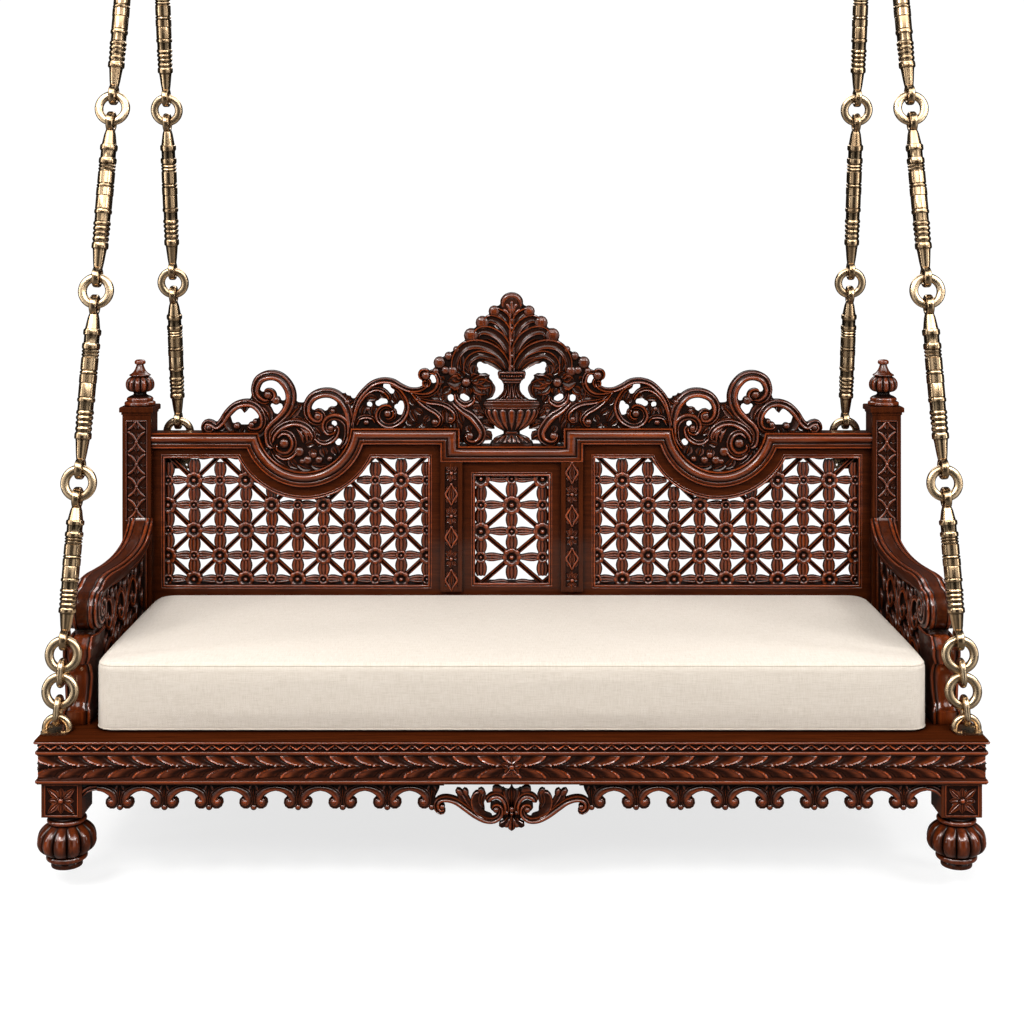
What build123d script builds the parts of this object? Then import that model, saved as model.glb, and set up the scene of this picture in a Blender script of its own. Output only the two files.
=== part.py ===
from build123d import *
import math
import os

os.makedirs("parts", exist_ok=True)

# ---------------------------------------------------------------- driving dimensions, mm
# Frame: X across the seat, -Y to the front, +Z up. Origin at the middle of the footprint, at the soles of the feet.
# Heights below are measured from a datum line under the feet. save() lowers every piece, which brings the soles to zero.
datum = 15.0  # height of the soles above the datum line
half_w = 895.0  # platform body, half of its width
half_d = 370.0  # platform body, half of its depth
lip = 5.0  # how far the nosing stands out of the body
z_deck = 268.0  # top of the platform
z_zig = 260.0  # top of the chip-carved edge
z_band = 246.0  # top of the leaf band
z_rail = 184.0  # underside of the frame
z_block = 119.0  # underside of the leg blocks
rail_t = 30.0
band_t = 14.0

leg_x, leg_y, leg_s = 850.5, 328.5, 77.0  # leg block centres and side
foot_r = 56.0

post_x, post_y = 856.5, 295.0  # centre of a back post
post_w, post_dp, z_post = 65.0, 70.0, 807.0
z_cap = 825.0

back_y0, back_y1 = 270.0, 320.0  # the top rail, front and back
frame_y0, frame_y1 = 279.0, 313.0  # panel frames
latt_y0, latt_y1 = 288.0, 304.0  # lattices
crest_y0, crest_y1 = 279.0, 311.0  # crests
z_sill = 400.0  # top of the lower back rail

dip_x, dip_z = 474.7, 782.2  # centre of the round dip in the top rail
dip_r_in, dip_r_out, dip_r_frame = 107.0, 142.0, 172.0

pad_x, pad_y0, pad_y1, pad_z1 = 800.0, -325.0, 258.0, 398.0  # cushion
cover_t = 2.0

apex = (776.0, 32.0, 2500.0)  # hinge axis above each end of the seat
front_anchor = (872.0, -325.0, 267.0)
plate_front = (872.0, -320.0)  # centre of a front eye plate
rear_anchor = (777.0, 345.0, 731.0)
ring_ro, ring_ri, ring_t = 36.0, 18.5, 14.0
eye_ri, eye_ro, eye_t = 12.5, 21.5, 15.0
eye_off = 28.45  # from a ring's centre to the centre of the eye that holds it
top_ring = 291.0  # from the hinge axis down to the topmost ring's centre
front_u = [1226.8, 851.8, 471.8, 144.8]  # ring centres, measured up the chain from its anchor
rear_u = [779.6, 382.6, 27.6]
pin_r, bush_ri, bush_ro = 8.0, 8.05, 11.0


def unit(a, b):
    d = [b[i] - a[i] for i in range(3)]
    n = math.sqrt(sum(v * v for v in d))
    return [v / n for v in d], n


def chain_ends(top, bottom, side):
    """Ends of a chain line. In the side view it aims at the hinge axis; across the seat it starts from the yoke's plane."""
    _, run = unit(bottom, top)
    s_eye = top_ring - eye_off
    shift = (bottom[0] - top[0]) * s_eye / (run - s_eye)
    return (side * (top[0] - shift), top[1], top[2]), (side * bottom[0], bottom[1], bottom[2])


def chain_plane(top, bottom, u, side):
    """A plane on the chain line, u above its anchor: its z runs up the chain and its x across the seat."""
    top, bottom = chain_ends(top, bottom, side)
    d, _ = unit(bottom, top)
    at = [bottom[i] + d[i] * u for i in range(3)]
    z = Vector(*d)
    x = Vector(1, 0, 0) - z * d[0]
    return Plane(origin=at, x_dir=x, z_dir=z)


def save(part, name):
    part = Pos(0, 0, -datum) * part
    part.label = name
    export_step(part, f"parts/{name}.step")


# ---------------------------------------------------------------- platform
with BuildPart() as front_rail:
    with BuildSketch(Plane.XY.offset(z_rail)):
        with Locations((0, -half_d + band_t + rail_t / 2)):
            Rectangle(2 * (half_w - band_t), rail_t)
    extrude(amount=z_band - z_rail)
save(front_rail.part, "front_rail")

with BuildPart() as rear_rail:
    with BuildSketch(Plane.XY.offset(z_rail)):
        with Locations((0, half_d - band_t - rail_t / 2)):
            Rectangle(2 * (half_w - band_t), rail_t)
    extrude(amount=z_band - z_rail)
save(rear_rail.part, "rear_rail")

end_len = 2 * (half_d - band_t - rail_t)
for side, name in ((-1, "end_rail_left"), (1, "end_rail_right")):
    with BuildPart() as end_rail:
        with BuildSketch(Plane.XY.offset(z_rail)):
            with Locations((side * (half_w - band_t - rail_t / 2), 0)):
                Rectangle(rail_t, end_len)
        extrude(amount=z_band - z_rail)
    save(end_rail.part, name)

screw_pts_front = [
    (side * plate_front[0] + dx, plate_front[1] + dy)
    for side in (-1, 1)
    for dx, dy in ((-17, -17), (17, -17), (-17, 17), (17, 17))
]
bolt_x = 838.0  # clear of the end rails
bolt_pts = [(side * bolt_x, y) for side in (-1, 1) for y in (post_y, -238.0)]
with BuildPart() as deck_board:
    with BuildSketch(Plane.XY.offset(z_band)):
        Rectangle(2 * (half_w - 2), 2 * (half_d - 2))
    extrude(amount=z_deck - z_band)
    with BuildSketch(Plane.XY.offset(z_zig)):
        RectangleRounded(2 * (half_w + lip), 2 * (half_d + lip), 3)
    extrude(amount=z_deck - z_zig)
    fillet(deck_board.edges().filter_by(GeomType.LINE).filter_by(Plane.XY).group_by(Axis.Z)[-1], 2.5)
    with Locations(*[(x, y, z_deck) for x, y in screw_pts_front]):
        Hole(2.6, depth=19)
    with Locations(*[(x, y, z_deck) for x, y in bolt_pts]):
        Hole(5.2, depth=40)
save(deck_board.part, "deck_board")

with BuildPart() as deck_bearers:
    with BuildSketch(Plane.XY.offset(z_band - 45)):
        with Locations((-450, 0), (0, 0), (450, 0)):
            Rectangle(60, end_len)
    extrude(amount=45)
save(deck_bearers.part, "deck_bearers")


def leaf_band(length, plane):
    """A moulding board: a plain fillet along each edge and a sunk field between for the leaves."""
    with BuildPart() as band:
        with BuildSketch(plane):
            with BuildLine():
                Polyline(
                    (0, z_rail), (-band_t - 4, z_rail), (-band_t - 4, z_rail + 8), (-band_t, z_rail + 10),
                    (-band_t + 3, z_rail + 12), (-band_t + 3, z_band - 11), (-band_t, z_band - 9),
                    (-band_t - 4, z_band - 7), (-band_t - 4, z_band), (0, z_band), close=True,
                )
            make_face()
        extrude(amount=length)
    return band.part


# The section is drawn in the plane square to the board's run: local x out of the body is negative.
front_plane = Plane(origin=(half_w, -half_d + band_t, 0), x_dir=(0, 1, 0), z_dir=(1, 0, 0)).offset(-2 * half_w)
band_front = leaf_band(2 * half_w, front_plane)
save(band_front, "leaf_band_front")
band_rear = mirror(band_front, about=Plane.XZ)
save(band_rear, "leaf_band_rear")
side_plane = Plane(origin=(-half_w + band_t, half_d - band_t, 0), x_dir=(1, 0, 0), z_dir=(0, -1, 0))
band_left = leaf_band(2 * (half_d - band_t), side_plane)
save(band_left, "leaf_band_left")
band_right = mirror(band_left, about=Plane.YZ)
save(band_right, "leaf_band_right")

with BuildPart() as leg_blocks:
    with BuildSketch(Plane.XY.offset(z_block)):
        with GridLocations(2 * leg_x, 2 * leg_y, 2, 2):
            RectangleRounded(leg_s, leg_s, 2)
    extrude(amount=z_rail - z_block)
    with Locations(Plane.XY.offset(z_block)):
        with GridLocations(2 * leg_x, 2 * leg_y, 2, 2):
            Cylinder(12.1, 40, align=(Align.CENTER, Align.CENTER, Align.MIN), mode=Mode.SUBTRACT)
save(leg_blocks.part, "leg_blocks")

with BuildPart() as foot:
    with BuildSketch(Plane.XZ):
        with BuildLine():
            Polyline((0, datum), (27, datum), (29.5, 17.3), (29.5, 24), (27, 26.3), (36, 27.8), (38.5, 30.1), (38.5, 36.9), (35, 39.1))
            Spline((35, 39.1), (50, 46.7), (foot_r, 61), (50, 81), (33, 97))
            Polyline((33, 97), (33, 101), (36.5, 104), (36.5, 115), (34, z_block), (12, z_block), (12, z_block + 38), (0, z_block + 38), (0, datum))
        make_face()
    revolve(axis=Axis.Z)
with BuildPart() as melon_feet:
    with GridLocations(2 * leg_x, 2 * leg_y, 2, 2):
        add(foot.part)
save(melon_feet.part, "melon_feet")

# ---------------------------------------------------------------- aprons with hanging arches
pitch = 84.1


def apron(half, t, n_each, cartouche):
    """An arcaded board below the frame. Arches are cut between pendants; the long ones carry a central drop."""
    with BuildPart() as board:
        with BuildSketch(Plane.XZ):
            with Locations((0, (z_rail + 130) / 2)):
                Rectangle(2 * half, z_rail - 130)
            if cartouche:
                with BuildLine():
                    Polyline(
                        (-147, 175), (-120, 150), (-90, 126), (-50, 112), (-24, 100), (-10, 91), (10, 91),
                        (24, 100), (50, 112), (90, 126), (120, 150), (147, 175), close=True,
                    )
                make_face()
            pts = [(s * x, 134) for s in (-1, 1) for x in n_each]
            with Locations(*pts):
                Circle(33, mode=Mode.SUBTRACT)
        extrude(amount=t / 2, both=True)
    return board.part


front_centres = [193.5 + 84.4 * i for i in range(8)]
apron_long = apron(leg_x - leg_s / 2 - 0.2, 16, front_centres, True)
apron_front = Pos(0, -half_d + 14, 0) * apron_long
save(apron_front, "apron_front")
apron_rear = Pos(0, half_d - 14, 0) * apron_long
save(apron_rear, "apron_rear")
side_centres = [42.0 + 84.1 * i for i in range(3)]
apron_short = apron(leg_y - leg_s / 2 - 0.2, 16, side_centres, False)
apron_left = Pos(-half_w + 14, 0, 0) * Rot(0, 0, 90) * apron_short
save(apron_left, "apron_left")
apron_right = Pos(half_w - 14, 0, 0) * Rot(0, 0, 90) * apron_short
save(apron_right, "apron_right")

# ---------------------------------------------------------------- back posts, caps, finials
for side, name in ((-1, "back_post_left"), (1, "back_post_right")):
    with BuildPart() as back_post:
        with BuildSketch(Plane.XY.offset(z_deck)):
            with Locations((side * post_x, post_y)):
                Rectangle(post_w, post_dp)
        extrude(amount=z_post - z_deck)
        # sunk field on the front face
        with BuildSketch(Plane.XZ.offset(-(post_y - post_dp / 2))):
            with Locations((side * post_x, (566 + 792) / 2)):
                Rectangle(46, 792 - 566)
        extrude(amount=-4, mode=Mode.SUBTRACT)
        with Locations((side * post_x, post_y, z_post)):
            Hole(8.1, depth=32)
        with Locations(Location((side * bolt_x, post_y, z_deck), (180, 0, 0))):
            Hole(5.1, depth=52)
    save(back_post.part, name)

with BuildPart() as post_caps:
    with BuildSketch(Plane.XY.offset(z_post)):
        with Locations((-post_x, post_y), (post_x, post_y)):
            Rectangle(post_w + 4, post_dp + 4)
    extrude(amount=6)
    with BuildSketch(Plane.XY.offset(z_post + 6)):
        with Locations((-post_x, post_y), (post_x, post_y)):
            Rectangle(post_w + 12, post_dp + 12)
    extrude(amount=z_cap - z_post - 6)
    chamfer(post_caps.edges().filter_by(Plane.XY).group_by(Axis.Z)[-1], 2)
    with Locations((-post_x, post_y, z_cap), (post_x, post_y, z_cap)):
        Hole(8.1, depth=30)
save(post_caps.part, "post_caps")

with BuildPart() as finial:
    with BuildSketch(Plane.XZ):
        with BuildLine():
            Polyline(
                (0, z_cap - 48), (8, z_cap - 48), (8, z_cap), (29, z_cap), (31, z_cap + 3), (31, z_cap + 8),
                (27, z_cap + 10), (25, z_cap + 14), (17, z_cap + 18), (14, z_cap + 21), (14, z_cap + 24),
            )
            Spline((14, z_cap + 24), (28, z_cap + 31), (33.4, z_cap + 43), (29, z_cap + 56), (21, z_cap + 62))
            Polyline(
                (21, z_cap + 62), (25, z_cap + 63), (25.3, z_cap + 66), (18, z_cap + 69), (12, z_cap + 76),
                (8.5, z_cap + 84), (8, z_cap + 88), (11, z_cap + 90), (12.7, z_cap + 95), (12.7, z_cap + 99),
                (10, z_cap + 104), (0, z_cap + 106), (0, z_cap - 48),
            )
        make_face()
    revolve(axis=Axis.Z)
with BuildPart() as finials:
    with Locations((-post_x, post_y), (post_x, post_y)):
        add(finial.part)
save(finials.part, "finials")

# ---------------------------------------------------------------- back: rails, pilasters, frames, lattices
post_in = post_x - post_w / 2  # inner face of the posts


def arc_x(z, r):
    return math.sqrt(r * r - (z - dip_z) ** 2)


def half_outline(s, r, zl, zr, zc, x_step):
    """Points and arcs of one half of the rail's edge from the post to the middle. s mirrors it."""
    a = (s * -(dip_x + arc_x(zl, r)), zl)
    b = (s * -dip_x, dip_z - r)
    c = (s * -(dip_x - arc_x(zr, r)), zr)
    Line((s * -post_in, zl), a)
    ThreePointArc(a, b, c)
    Line(c, (s * -x_step, zr))
    Line((s * -x_step, zr), (s * -x_step, zc))


z_o, z_s, z_m = 764.4, 774.7, 733.7  # the rail's top: outer parts, shoulders, middle
z_o2, z_s2, z_m2 = 729.0, 738.0, 697.7  # its underside
with BuildPart() as back_top_rail:
    with BuildSketch(Plane.XZ.offset(-back_y0)):
        with BuildLine():
            half_outline(1, dip_r_in, z_o, z_s, z_m, 119.0)
            Line((-119.0, z_m), (119.0, z_m))
            half_outline(-1, dip_r_in, z_o, z_s, z_m, 119.0)
            Line((post_in, z_o), (post_in, z_o2))
            half_outline(-1, dip_r_out, z_o2, z_s2, z_m2, 163.3)
            Line((163.3, z_m2), (-163.3, z_m2))
            half_outline(1, dip_r_out, z_o2, z_s2, z_m2, 163.3)
            Line((-post_in, z_o2), (-post_in, z_o))
        make_face()
    extrude(amount=-(back_y1 - back_y0))
save(back_top_rail.part, "back_top_rail")

with BuildPart() as back_bottom_rail:
    with BuildSketch(Plane.XY.offset(z_deck)):
        with Locations((0, (frame_y0 + frame_y1) / 2)):
            Rectangle(2 * post_in, frame_y1 - frame_y0)
    extrude(amount=z_sill - z_deck)
save(back_bottom_rail.part, "back_bottom_rail")

pil_x0, pil_x1 = 113.1, 163.3
with BuildPart() as pilasters:
    with BuildSketch(Plane.XY.offset(z_sill)):
        with Locations((-(pil_x0 + pil_x1) / 2, 293), ((pil_x0 + pil_x1) / 2, 293)):
            Rectangle(pil_x1 - pil_x0, 46)
    extrude(amount=z_m2 - z_sill)
    with BuildSketch(Plane.XZ.offset(-270)):
        with Locations((-(pil_x0 + pil_x1) / 2, (z_sill + z_m2) / 2), ((pil_x0 + pil_x1) / 2, (z_sill + z_m2) / 2)):
            Rectangle(30, z_m2 - z_sill - 24)
    extrude(amount=-4, mode=Mode.SUBTRACT)
save(pilasters.part, "pilasters")

op_x0, op_x1, op_z0, op_z1 = 191.7, 796.0, 414.4, 705.5
frames = {}
for s, name in ((1, "panel_frame_left"), (-1, "panel_frame_right")):
    with BuildPart() as panel_frame:
        with BuildSketch(Plane.XZ.offset(-frame_y0)):
            with BuildLine():
                a = (s * -(dip_x + arc_x(z_o2, dip_r_out)), z_o2)
                c = (s * -(dip_x - arc_x(z_s2, dip_r_out)), z_s2)
                Line((s * -post_in, z_sill), (s * -post_in, z_o2))
                Line((s * -post_in, z_o2), a)
                ThreePointArc(a, (s * -dip_x, dip_z - dip_r_out), c)
                Line(c, (s * -pil_x1, z_s2))
                Line((s * -pil_x1, z_s2), (s * -pil_x1, z_sill))
                Line((s * -pil_x1, z_sill), (s * -post_in, z_sill))
            make_face()
            with BuildLine():
                a = (s * -(dip_x + arc_x(op_z1, dip_r_frame)), op_z1)
                c = (s * -(dip_x - arc_x(op_z1, dip_r_frame)), op_z1)
                Line((s * -op_x1, op_z0), (s * -op_x1, op_z1))
                Line((s * -op_x1, op_z1), a)
                ThreePointArc(a, (s * -dip_x, dip_z - dip_r_frame), c)
                Line(c, (s * -op_x0, op_z1))
                Line((s * -op_x0, op_z1), (s * -op_x0, op_z0))
                Line((s * -op_x0, op_z0), (s * -op_x1, op_z0))
            make_face(mode=Mode.SUBTRACT)
        extrude(amount=-(frame_y1 - frame_y0))
    save(panel_frame.part, name)

co_x, co_z0, co_z1 = 84.5, 419.2, 664.7
with BuildPart() as panel_frame_centre:
    with BuildSketch(Plane.XZ.offset(-frame_y0)):
        with Locations((0, (z_sill + z_m2) / 2)):
            Rectangle(2 * pil_x0, z_m2 - z_sill)
        with Locations((0, (co_z0 + co_z1) / 2)):
            Rectangle(2 * co_x, co_z1 - co_z0, mode=Mode.SUBTRACT)
    extrude(amount=-(frame_y1 - frame_y0))
save(panel_frame_centre.part, "panel_frame_centre")


def screen(x0, x1, z0, z1, xs, zs, dip):
    """A pierced screen in the XZ plane: square bars on a grid, thin diagonals and round bosses, inside a thin border."""
    with BuildPart() as net:
        with BuildSketch(Plane.XZ.offset(-latt_y0)):
            for x in xs:
                with Locations((x, (z0 + z1) / 2)):
                    Rectangle(19, z1 - z0)
            for z in zs:
                with Locations(((x0 + x1) / 2, z)):
                    Rectangle(x1 - x0, 19)
            with Locations(*[(x, z) for x in xs for z in zs]):
                Circle(14)
            with Locations(((x0 + x1) / 2, z0 + 3), ((x0 + x1) / 2, z1 - 3)):
                Rectangle(x1 - x0, 6)
            with Locations((x0 + 3, (z0 + z1) / 2), (x1 - 3, (z0 + z1) / 2)):
                Rectangle(6, z1 - z0)
            if dip:
                with Locations((dip, dip_z)):
                    Circle(dip_r_frame + 6)
                with Locations((dip, dip_z)):
                    Circle(dip_r_frame, mode=Mode.SUBTRACT)
            with Locations(((x0 + x1) / 2, (z0 + z1) / 2)):
                Rectangle(x1 - x0, z1 - z0, mode=Mode.INTERSECT)
        extrude(amount=-(latt_y1 - latt_y0))
    return net.part


cols_left = [-731.2 + 59.6 * i for i in range(10)]
cols_left = [x for x in cols_left if x < -op_x0 - 14]
rows = [653.0, 596.0, 538.0, 480.0, 425.0]
lattice_left = screen(-op_x1, -op_x0, op_z0, op_z1, cols_left, rows, -dip_x)
save(lattice_left, "lattice_left")
lattice_right = mirror(lattice_left, about=Plane.YZ)
save(lattice_right, "lattice_right")
lattice_centre = screen(-co_x, co_x, co_z0, co_z1, [-71.0, 0.0, 71.0], [595.8, 535.0, 475.6], None)
save(lattice_centre, "lattice_centre")

# ---------------------------------------------------------------- crests
with BuildPart() as crest_left:
    with BuildSketch(Plane.XZ.offset(-crest_y0)):
        with BuildLine():
            Polyline(
                (-703, z_o), (-706, 786), (-690, 790), (-655, 822), (-628, 835), (-611, 850), (-613, 880),
                (-598, 897), (-571, 895), (-549, 872), (-541, 852), (-520, 838), (-512, 845), (-490, 858),
                (-460, 856), (-440, 846), (-434, 864), (-404, 870), (-372, 855), (-340, 862), (-316, 880),
                (-275, 884), (-225, 868), (-190, 884), (-178, 912), (-150, 938), (-136, 928),
                (-122, z_s), (-dip_x + arc_x(z_s, dip_r_in), z_s),
            )
            ThreePointArc(
                (-dip_x + arc_x(z_s, dip_r_in), z_s), (-dip_x, dip_z - dip_r_in), (-dip_x - arc_x(z_o, dip_r_in), z_o)
            )
            Line((-dip_x - arc_x(z_o, dip_r_in), z_o), (-703, z_o))
        make_face()
    extrude(amount=-(crest_y1 - crest_y0))
save(crest_left.part, "crest_left")
crest_right = mirror(crest_left.part, about=Plane.YZ)
save(crest_right, "crest_right")

with BuildPart() as crest_centre:
    with BuildSketch(Plane.XZ.offset(-crest_y0)):
        with BuildLine():
            half = [
                (-118.5, z_m), (-118.5, z_s + 0.5), (-121, 790), (-132, 925), (-133, 948), (-108, 966), (-104, 990),
                (-78, 1008), (-74, 1033), (-50, 1041), (-46, 1062), (-26, 1066), (-20, 1078), (0, 1083),
            ]
            Polyline(*half, *[(-x, z) for x, z in reversed(half[:-1])], close=True)
        make_face()
    extrude(amount=-(crest_y1 - crest_y0))
save(crest_centre.part, "crest_centre")

# ---------------------------------------------------------------- arms, drawn in the plane of their length
arm_x0, arm_x1 = 818.0, 876.0
fy = -half_d  # depths below are counted back from the platform's front
cap_top = [(259, 572), (241, 557), (214, 541), (175, 529), (110, 521), (30, 520), (-50, 524), (-115, 528), (-165, 524), (-205, 507), (-233, 475)]
cap_bot = [(-205, 462), (-185, 480), (-160, 492), (-115, 498), (-50, 494), (30, 490), (110, 491), (170, 498), (214, 510), (240, 524), (259, 538)]


with BuildPart() as arm_cap_left:
    with BuildSketch(Plane.YZ.offset(-arm_x1)):
        with BuildLine():
            Spline(*cap_top)
            Line(cap_top[-1], (-233, 470))
            Line((-233, 470), cap_bot[0])
            Spline(*cap_bot)
            Line(cap_bot[-1], cap_top[0])
        make_face()
        with Locations((-200, 474)):
            Circle(42)
    extrude(amount=arm_x1 - arm_x0)
save(arm_cap_left.part, "arm_cap_left")
arm_cap_right = mirror(arm_cap_left.part, about=Plane.YZ)
save(arm_cap_right, "arm_cap_right")

with BuildPart() as arm_post_left:
    with BuildSketch(Plane.YZ.offset(-arm_x1 + 1)):
        with BuildLine():
            Polyline(
                (-280, z_deck), (-280, 292), (-273, 298), (-264, 330), (-262, 360), (-268, 380), (-276, 388), (-276, 412),
                (-264, 416), (-250, 424), (-241, 430.5), (-157, 430.5), (-168, 416), (-176, 388), (-184, 360), (-181, 320),
                (-172, 298), (-168, 292), (-168, z_deck), close=True,
            )
        make_face()
        with Locations((-200, 474)):
            Circle(42.3, mode=Mode.SUBTRACT)
    extrude(amount=arm_x1 - arm_x0 - 2)
    with Locations(Location((-bolt_x, -238, z_deck), (180, 0, 0))):
        Hole(5.1, depth=52)
save(arm_post_left.part, "arm_post_left")
arm_post_right = mirror(arm_post_left.part, about=Plane.YZ)
save(arm_post_right, "arm_post_right")

with BuildPart() as arm_sills:
    with BuildSketch(Plane.XY.offset(z_deck)):
        with Locations((-847, (259.8 - 167.5) / 2), (847, (259.8 - 167.5) / 2)):
            Rectangle(46, 259.8 + 167.5)
    extrude(amount=24)
save(arm_sills.part, "arm_sills")

with BuildPart() as arm_panel_left:
    with BuildSketch(Plane.YZ.offset(-864)):
        with BuildLine():
            Line((-150.5, 292), (259.8, 292))
            Line((259.8, 292), (259.8, 537))
            Spline((259.8, 537), (240, 523), (214, 509), (170, 497), (110, 490), (30, 489), (-50, 493), (-115, 497), (-150, 491))
            Line((-150, 491), (-150.5, 292))
        make_face()
        with Locations((-200, 474)):
            Circle(42.6, mode=Mode.SUBTRACT)
    extrude(amount=34)
save(arm_panel_left.part, "arm_panel_left")
arm_panel_right = mirror(arm_panel_left.part, about=Plane.YZ)
save(arm_panel_right, "arm_panel_right")

# ---------------------------------------------------------------- cushion
pad_cy, pad_dy = (pad_y0 + pad_y1) / 2, pad_y1 - pad_y0
with BuildPart() as cushion_foam:
    with BuildSketch(Plane.XY.offset(z_deck + 0.3 + cover_t)):
        with Locations((0, pad_cy)):
            RectangleRounded(2 * pad_x - 2 * cover_t, pad_dy - 2 * cover_t, 28)
    extrude(amount=pad_z1 - z_deck - 0.3 - 2 * cover_t)
save(cushion_foam.part, "cushion_foam")
with BuildPart() as cushion_cover:
    with BuildSketch(Plane.XY.offset(z_deck + 0.3)):
        with Locations((0, pad_cy)):
            RectangleRounded(2 * pad_x, pad_dy, 30)
    extrude(amount=pad_z1 - z_deck - 0.3)
    add(cushion_foam.part, mode=Mode.SUBTRACT)
save(cushion_cover.part, "cushion_cover")

# ---------------------------------------------------------------- suspension
with BuildPart() as ring:
    with BuildSketch(Plane.XY):
        with BuildLine():
            h = ring_t / 2
            Polyline(
                (ring_ri + 2.5, -h), (ring_ro - 4.5, -h), (ring_ro, -h + 4), (ring_ro, h - 4), (ring_ro - 4.5, h),
                (ring_ri + 2.5, h), (ring_ri, h - 3), (ring_ri, -h + 3), close=True,
            )
        make_face()
    revolve(axis=Axis.Y)


def rod(length):
    """A turned rod with an eye at each end, from eye centre to eye centre along Z; the eyes' bores run along X."""
    # (share of the turned length, radius)
    profile = [
        (0.0, 9.0), (0.03, 11.5), (0.10, 14.5), (0.11, 17.5), (0.15, 17.5), (0.16, 15.5), (0.20, 15.5), (0.21, 17.5),
        (0.245, 17.5), (0.25, 15.8), (0.262, 17.2), (0.275, 15.8), (0.29, 17.2), (0.30, 15.8), (0.305, 17.0), (0.39, 17.0),
        (0.395, 15.5), (0.40, 17.2), (0.412, 17.2), (0.418, 15.5), (0.422, 17.5), (0.48, 17.5), (0.485, 16.6), (0.575, 16.6),
        (0.58, 17.6), (0.605, 17.6), (0.61, 15.6), (0.66, 15.6), (0.67, 17.2), (0.69, 17.2), (0.695, 15.0), (0.715, 17.0),
        (0.735, 15.0), (0.75, 16.6), (0.77, 15.0), (0.79, 16.2), (0.81, 15.0), (0.82, 16.0), (0.86, 16.0), (0.87, 13.5),
        (0.96, 11.0), (1.0, 9.0),
    ]
    a, b = 17.0, length - 17.0
    with BuildPart() as r:
        with BuildSketch(Plane.XZ):
            with BuildLine():
                pts = [(p, a + (1 - t) * (b - a)) for t, p in profile]
                Polyline((0, b), *pts, (0, a), close=True)
            make_face()
        revolve(axis=Axis.Z)
        for h in (0.0, length):
            with BuildSketch(Plane.XY.offset(h)):
                with Locations((0, (eye_ri + eye_ro) / 2)):
                    RectangleRounded(eye_t, eye_ro - eye_ri, 3.5)
            revolve(axis=Axis((0, 0, h), (1, 0, 0)))
            with Locations(Location((0, 0, h), (0, 90, 0))):
                Cylinder(eye_ri, 3 * eye_t, mode=Mode.SUBTRACT)
    return r.part


def chain_sets(bottom, stations, side):
    _, run = unit(*chain_ends(apex, bottom, side))
    top = run - top_ring
    stations = [top, (top + stations[0]) / 2] + stations
    rings = [chain_plane(apex, bottom, u, side).location * ring.part for u in stations]
    rods = []
    for up, down in zip(stations, stations[1:]):
        gap = up - down - 2 * eye_off
        rods.append(chain_plane(apex, bottom, down + eye_off, side).location * rod(gap))
    return rings, rods


for side, tag in ((-1, "left"), (1, "right")):
    for place, bottom, stations in (("front", front_anchor, front_u), ("rear", rear_anchor, rear_u)):
        rings, rods = chain_sets(bottom, stations, side)
        if place == "front":
            # the second ring of the short linkage near the seat
            rings.append(chain_plane(apex, bottom, 76.3, side).location * ring.part)
        with BuildPart() as ring_group:
            for r in rings:
                add(r)
        save(ring_group.part, f"rings_{place}_{tag}")
        with BuildPart() as rod_group:
            for r in rods:
                add(r)
        save(rod_group.part, f"rods_{place}_{tag}")

wire = 6.0


def oval_link(inner_h, inner_w):
    """A welded oval link in the local YZ plane, round wire."""
    rr = inner_w / 2 + wire
    hh = inner_h / 2 + wire - rr
    with BuildPart() as link:
        with BuildLine(Plane.YZ) as path:
            Line((rr, -hh), (rr, hh))
            ThreePointArc((rr, hh), (0, hh + rr), (-rr, hh))
            Line((-rr, hh), (-rr, -hh))
            ThreePointArc((-rr, -hh), (0, -hh - rr), (rr, -hh))
        with BuildSketch(Plane(origin=(0, rr, -hh), x_dir=(1, 0, 0), z_dir=(0, 0, 1))):
            Circle(wire)
        sweep(path=path.line)
    return link.part


upper_link = oval_link(33.5, 17.5)
lower_link = oval_link(36.5, 19.5)
with BuildPart() as lower_links:
    for side in (-1, 1):
        add(chain_plane(apex, front_anchor, 110.6, side).location * upper_link)
        add(chain_plane(apex, front_anchor, 40.55, side).location * lower_link)
save(lower_links.part, "lower_links")

with BuildPart() as eye_plate:
    with BuildSketch(Plane.XY.offset(z_deck)):
        RectangleRounded(54, 54, 12)
    extrude(amount=4)
    with BuildLine(Plane.XZ) as path:
        Line((-23, z_deck + 2), (-23, z_deck + 5))
        ThreePointArc((-23, z_deck + 5), (0, z_deck + 28), (23, z_deck + 5))
        Line((23, z_deck + 5), (23, z_deck + 2))
    with BuildSketch(Plane(origin=(-23, 0, z_deck + 2), x_dir=(1, 0, 0), z_dir=(0, 0, 1))):
        Circle(6.5)
    sweep(path=path.line)
    with Locations(*[(dx, dy, z_deck + 4) for dx in (-17, 17) for dy in (-17, 17)]):
        Hole(2.6, depth=4.5)
with BuildPart() as front_eye_plates:
    with Locations((-plate_front[0], plate_front[1]), (plate_front[0], plate_front[1])):
        add(eye_plate.part)
save(front_eye_plates.part, "front_eye_plates")

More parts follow.
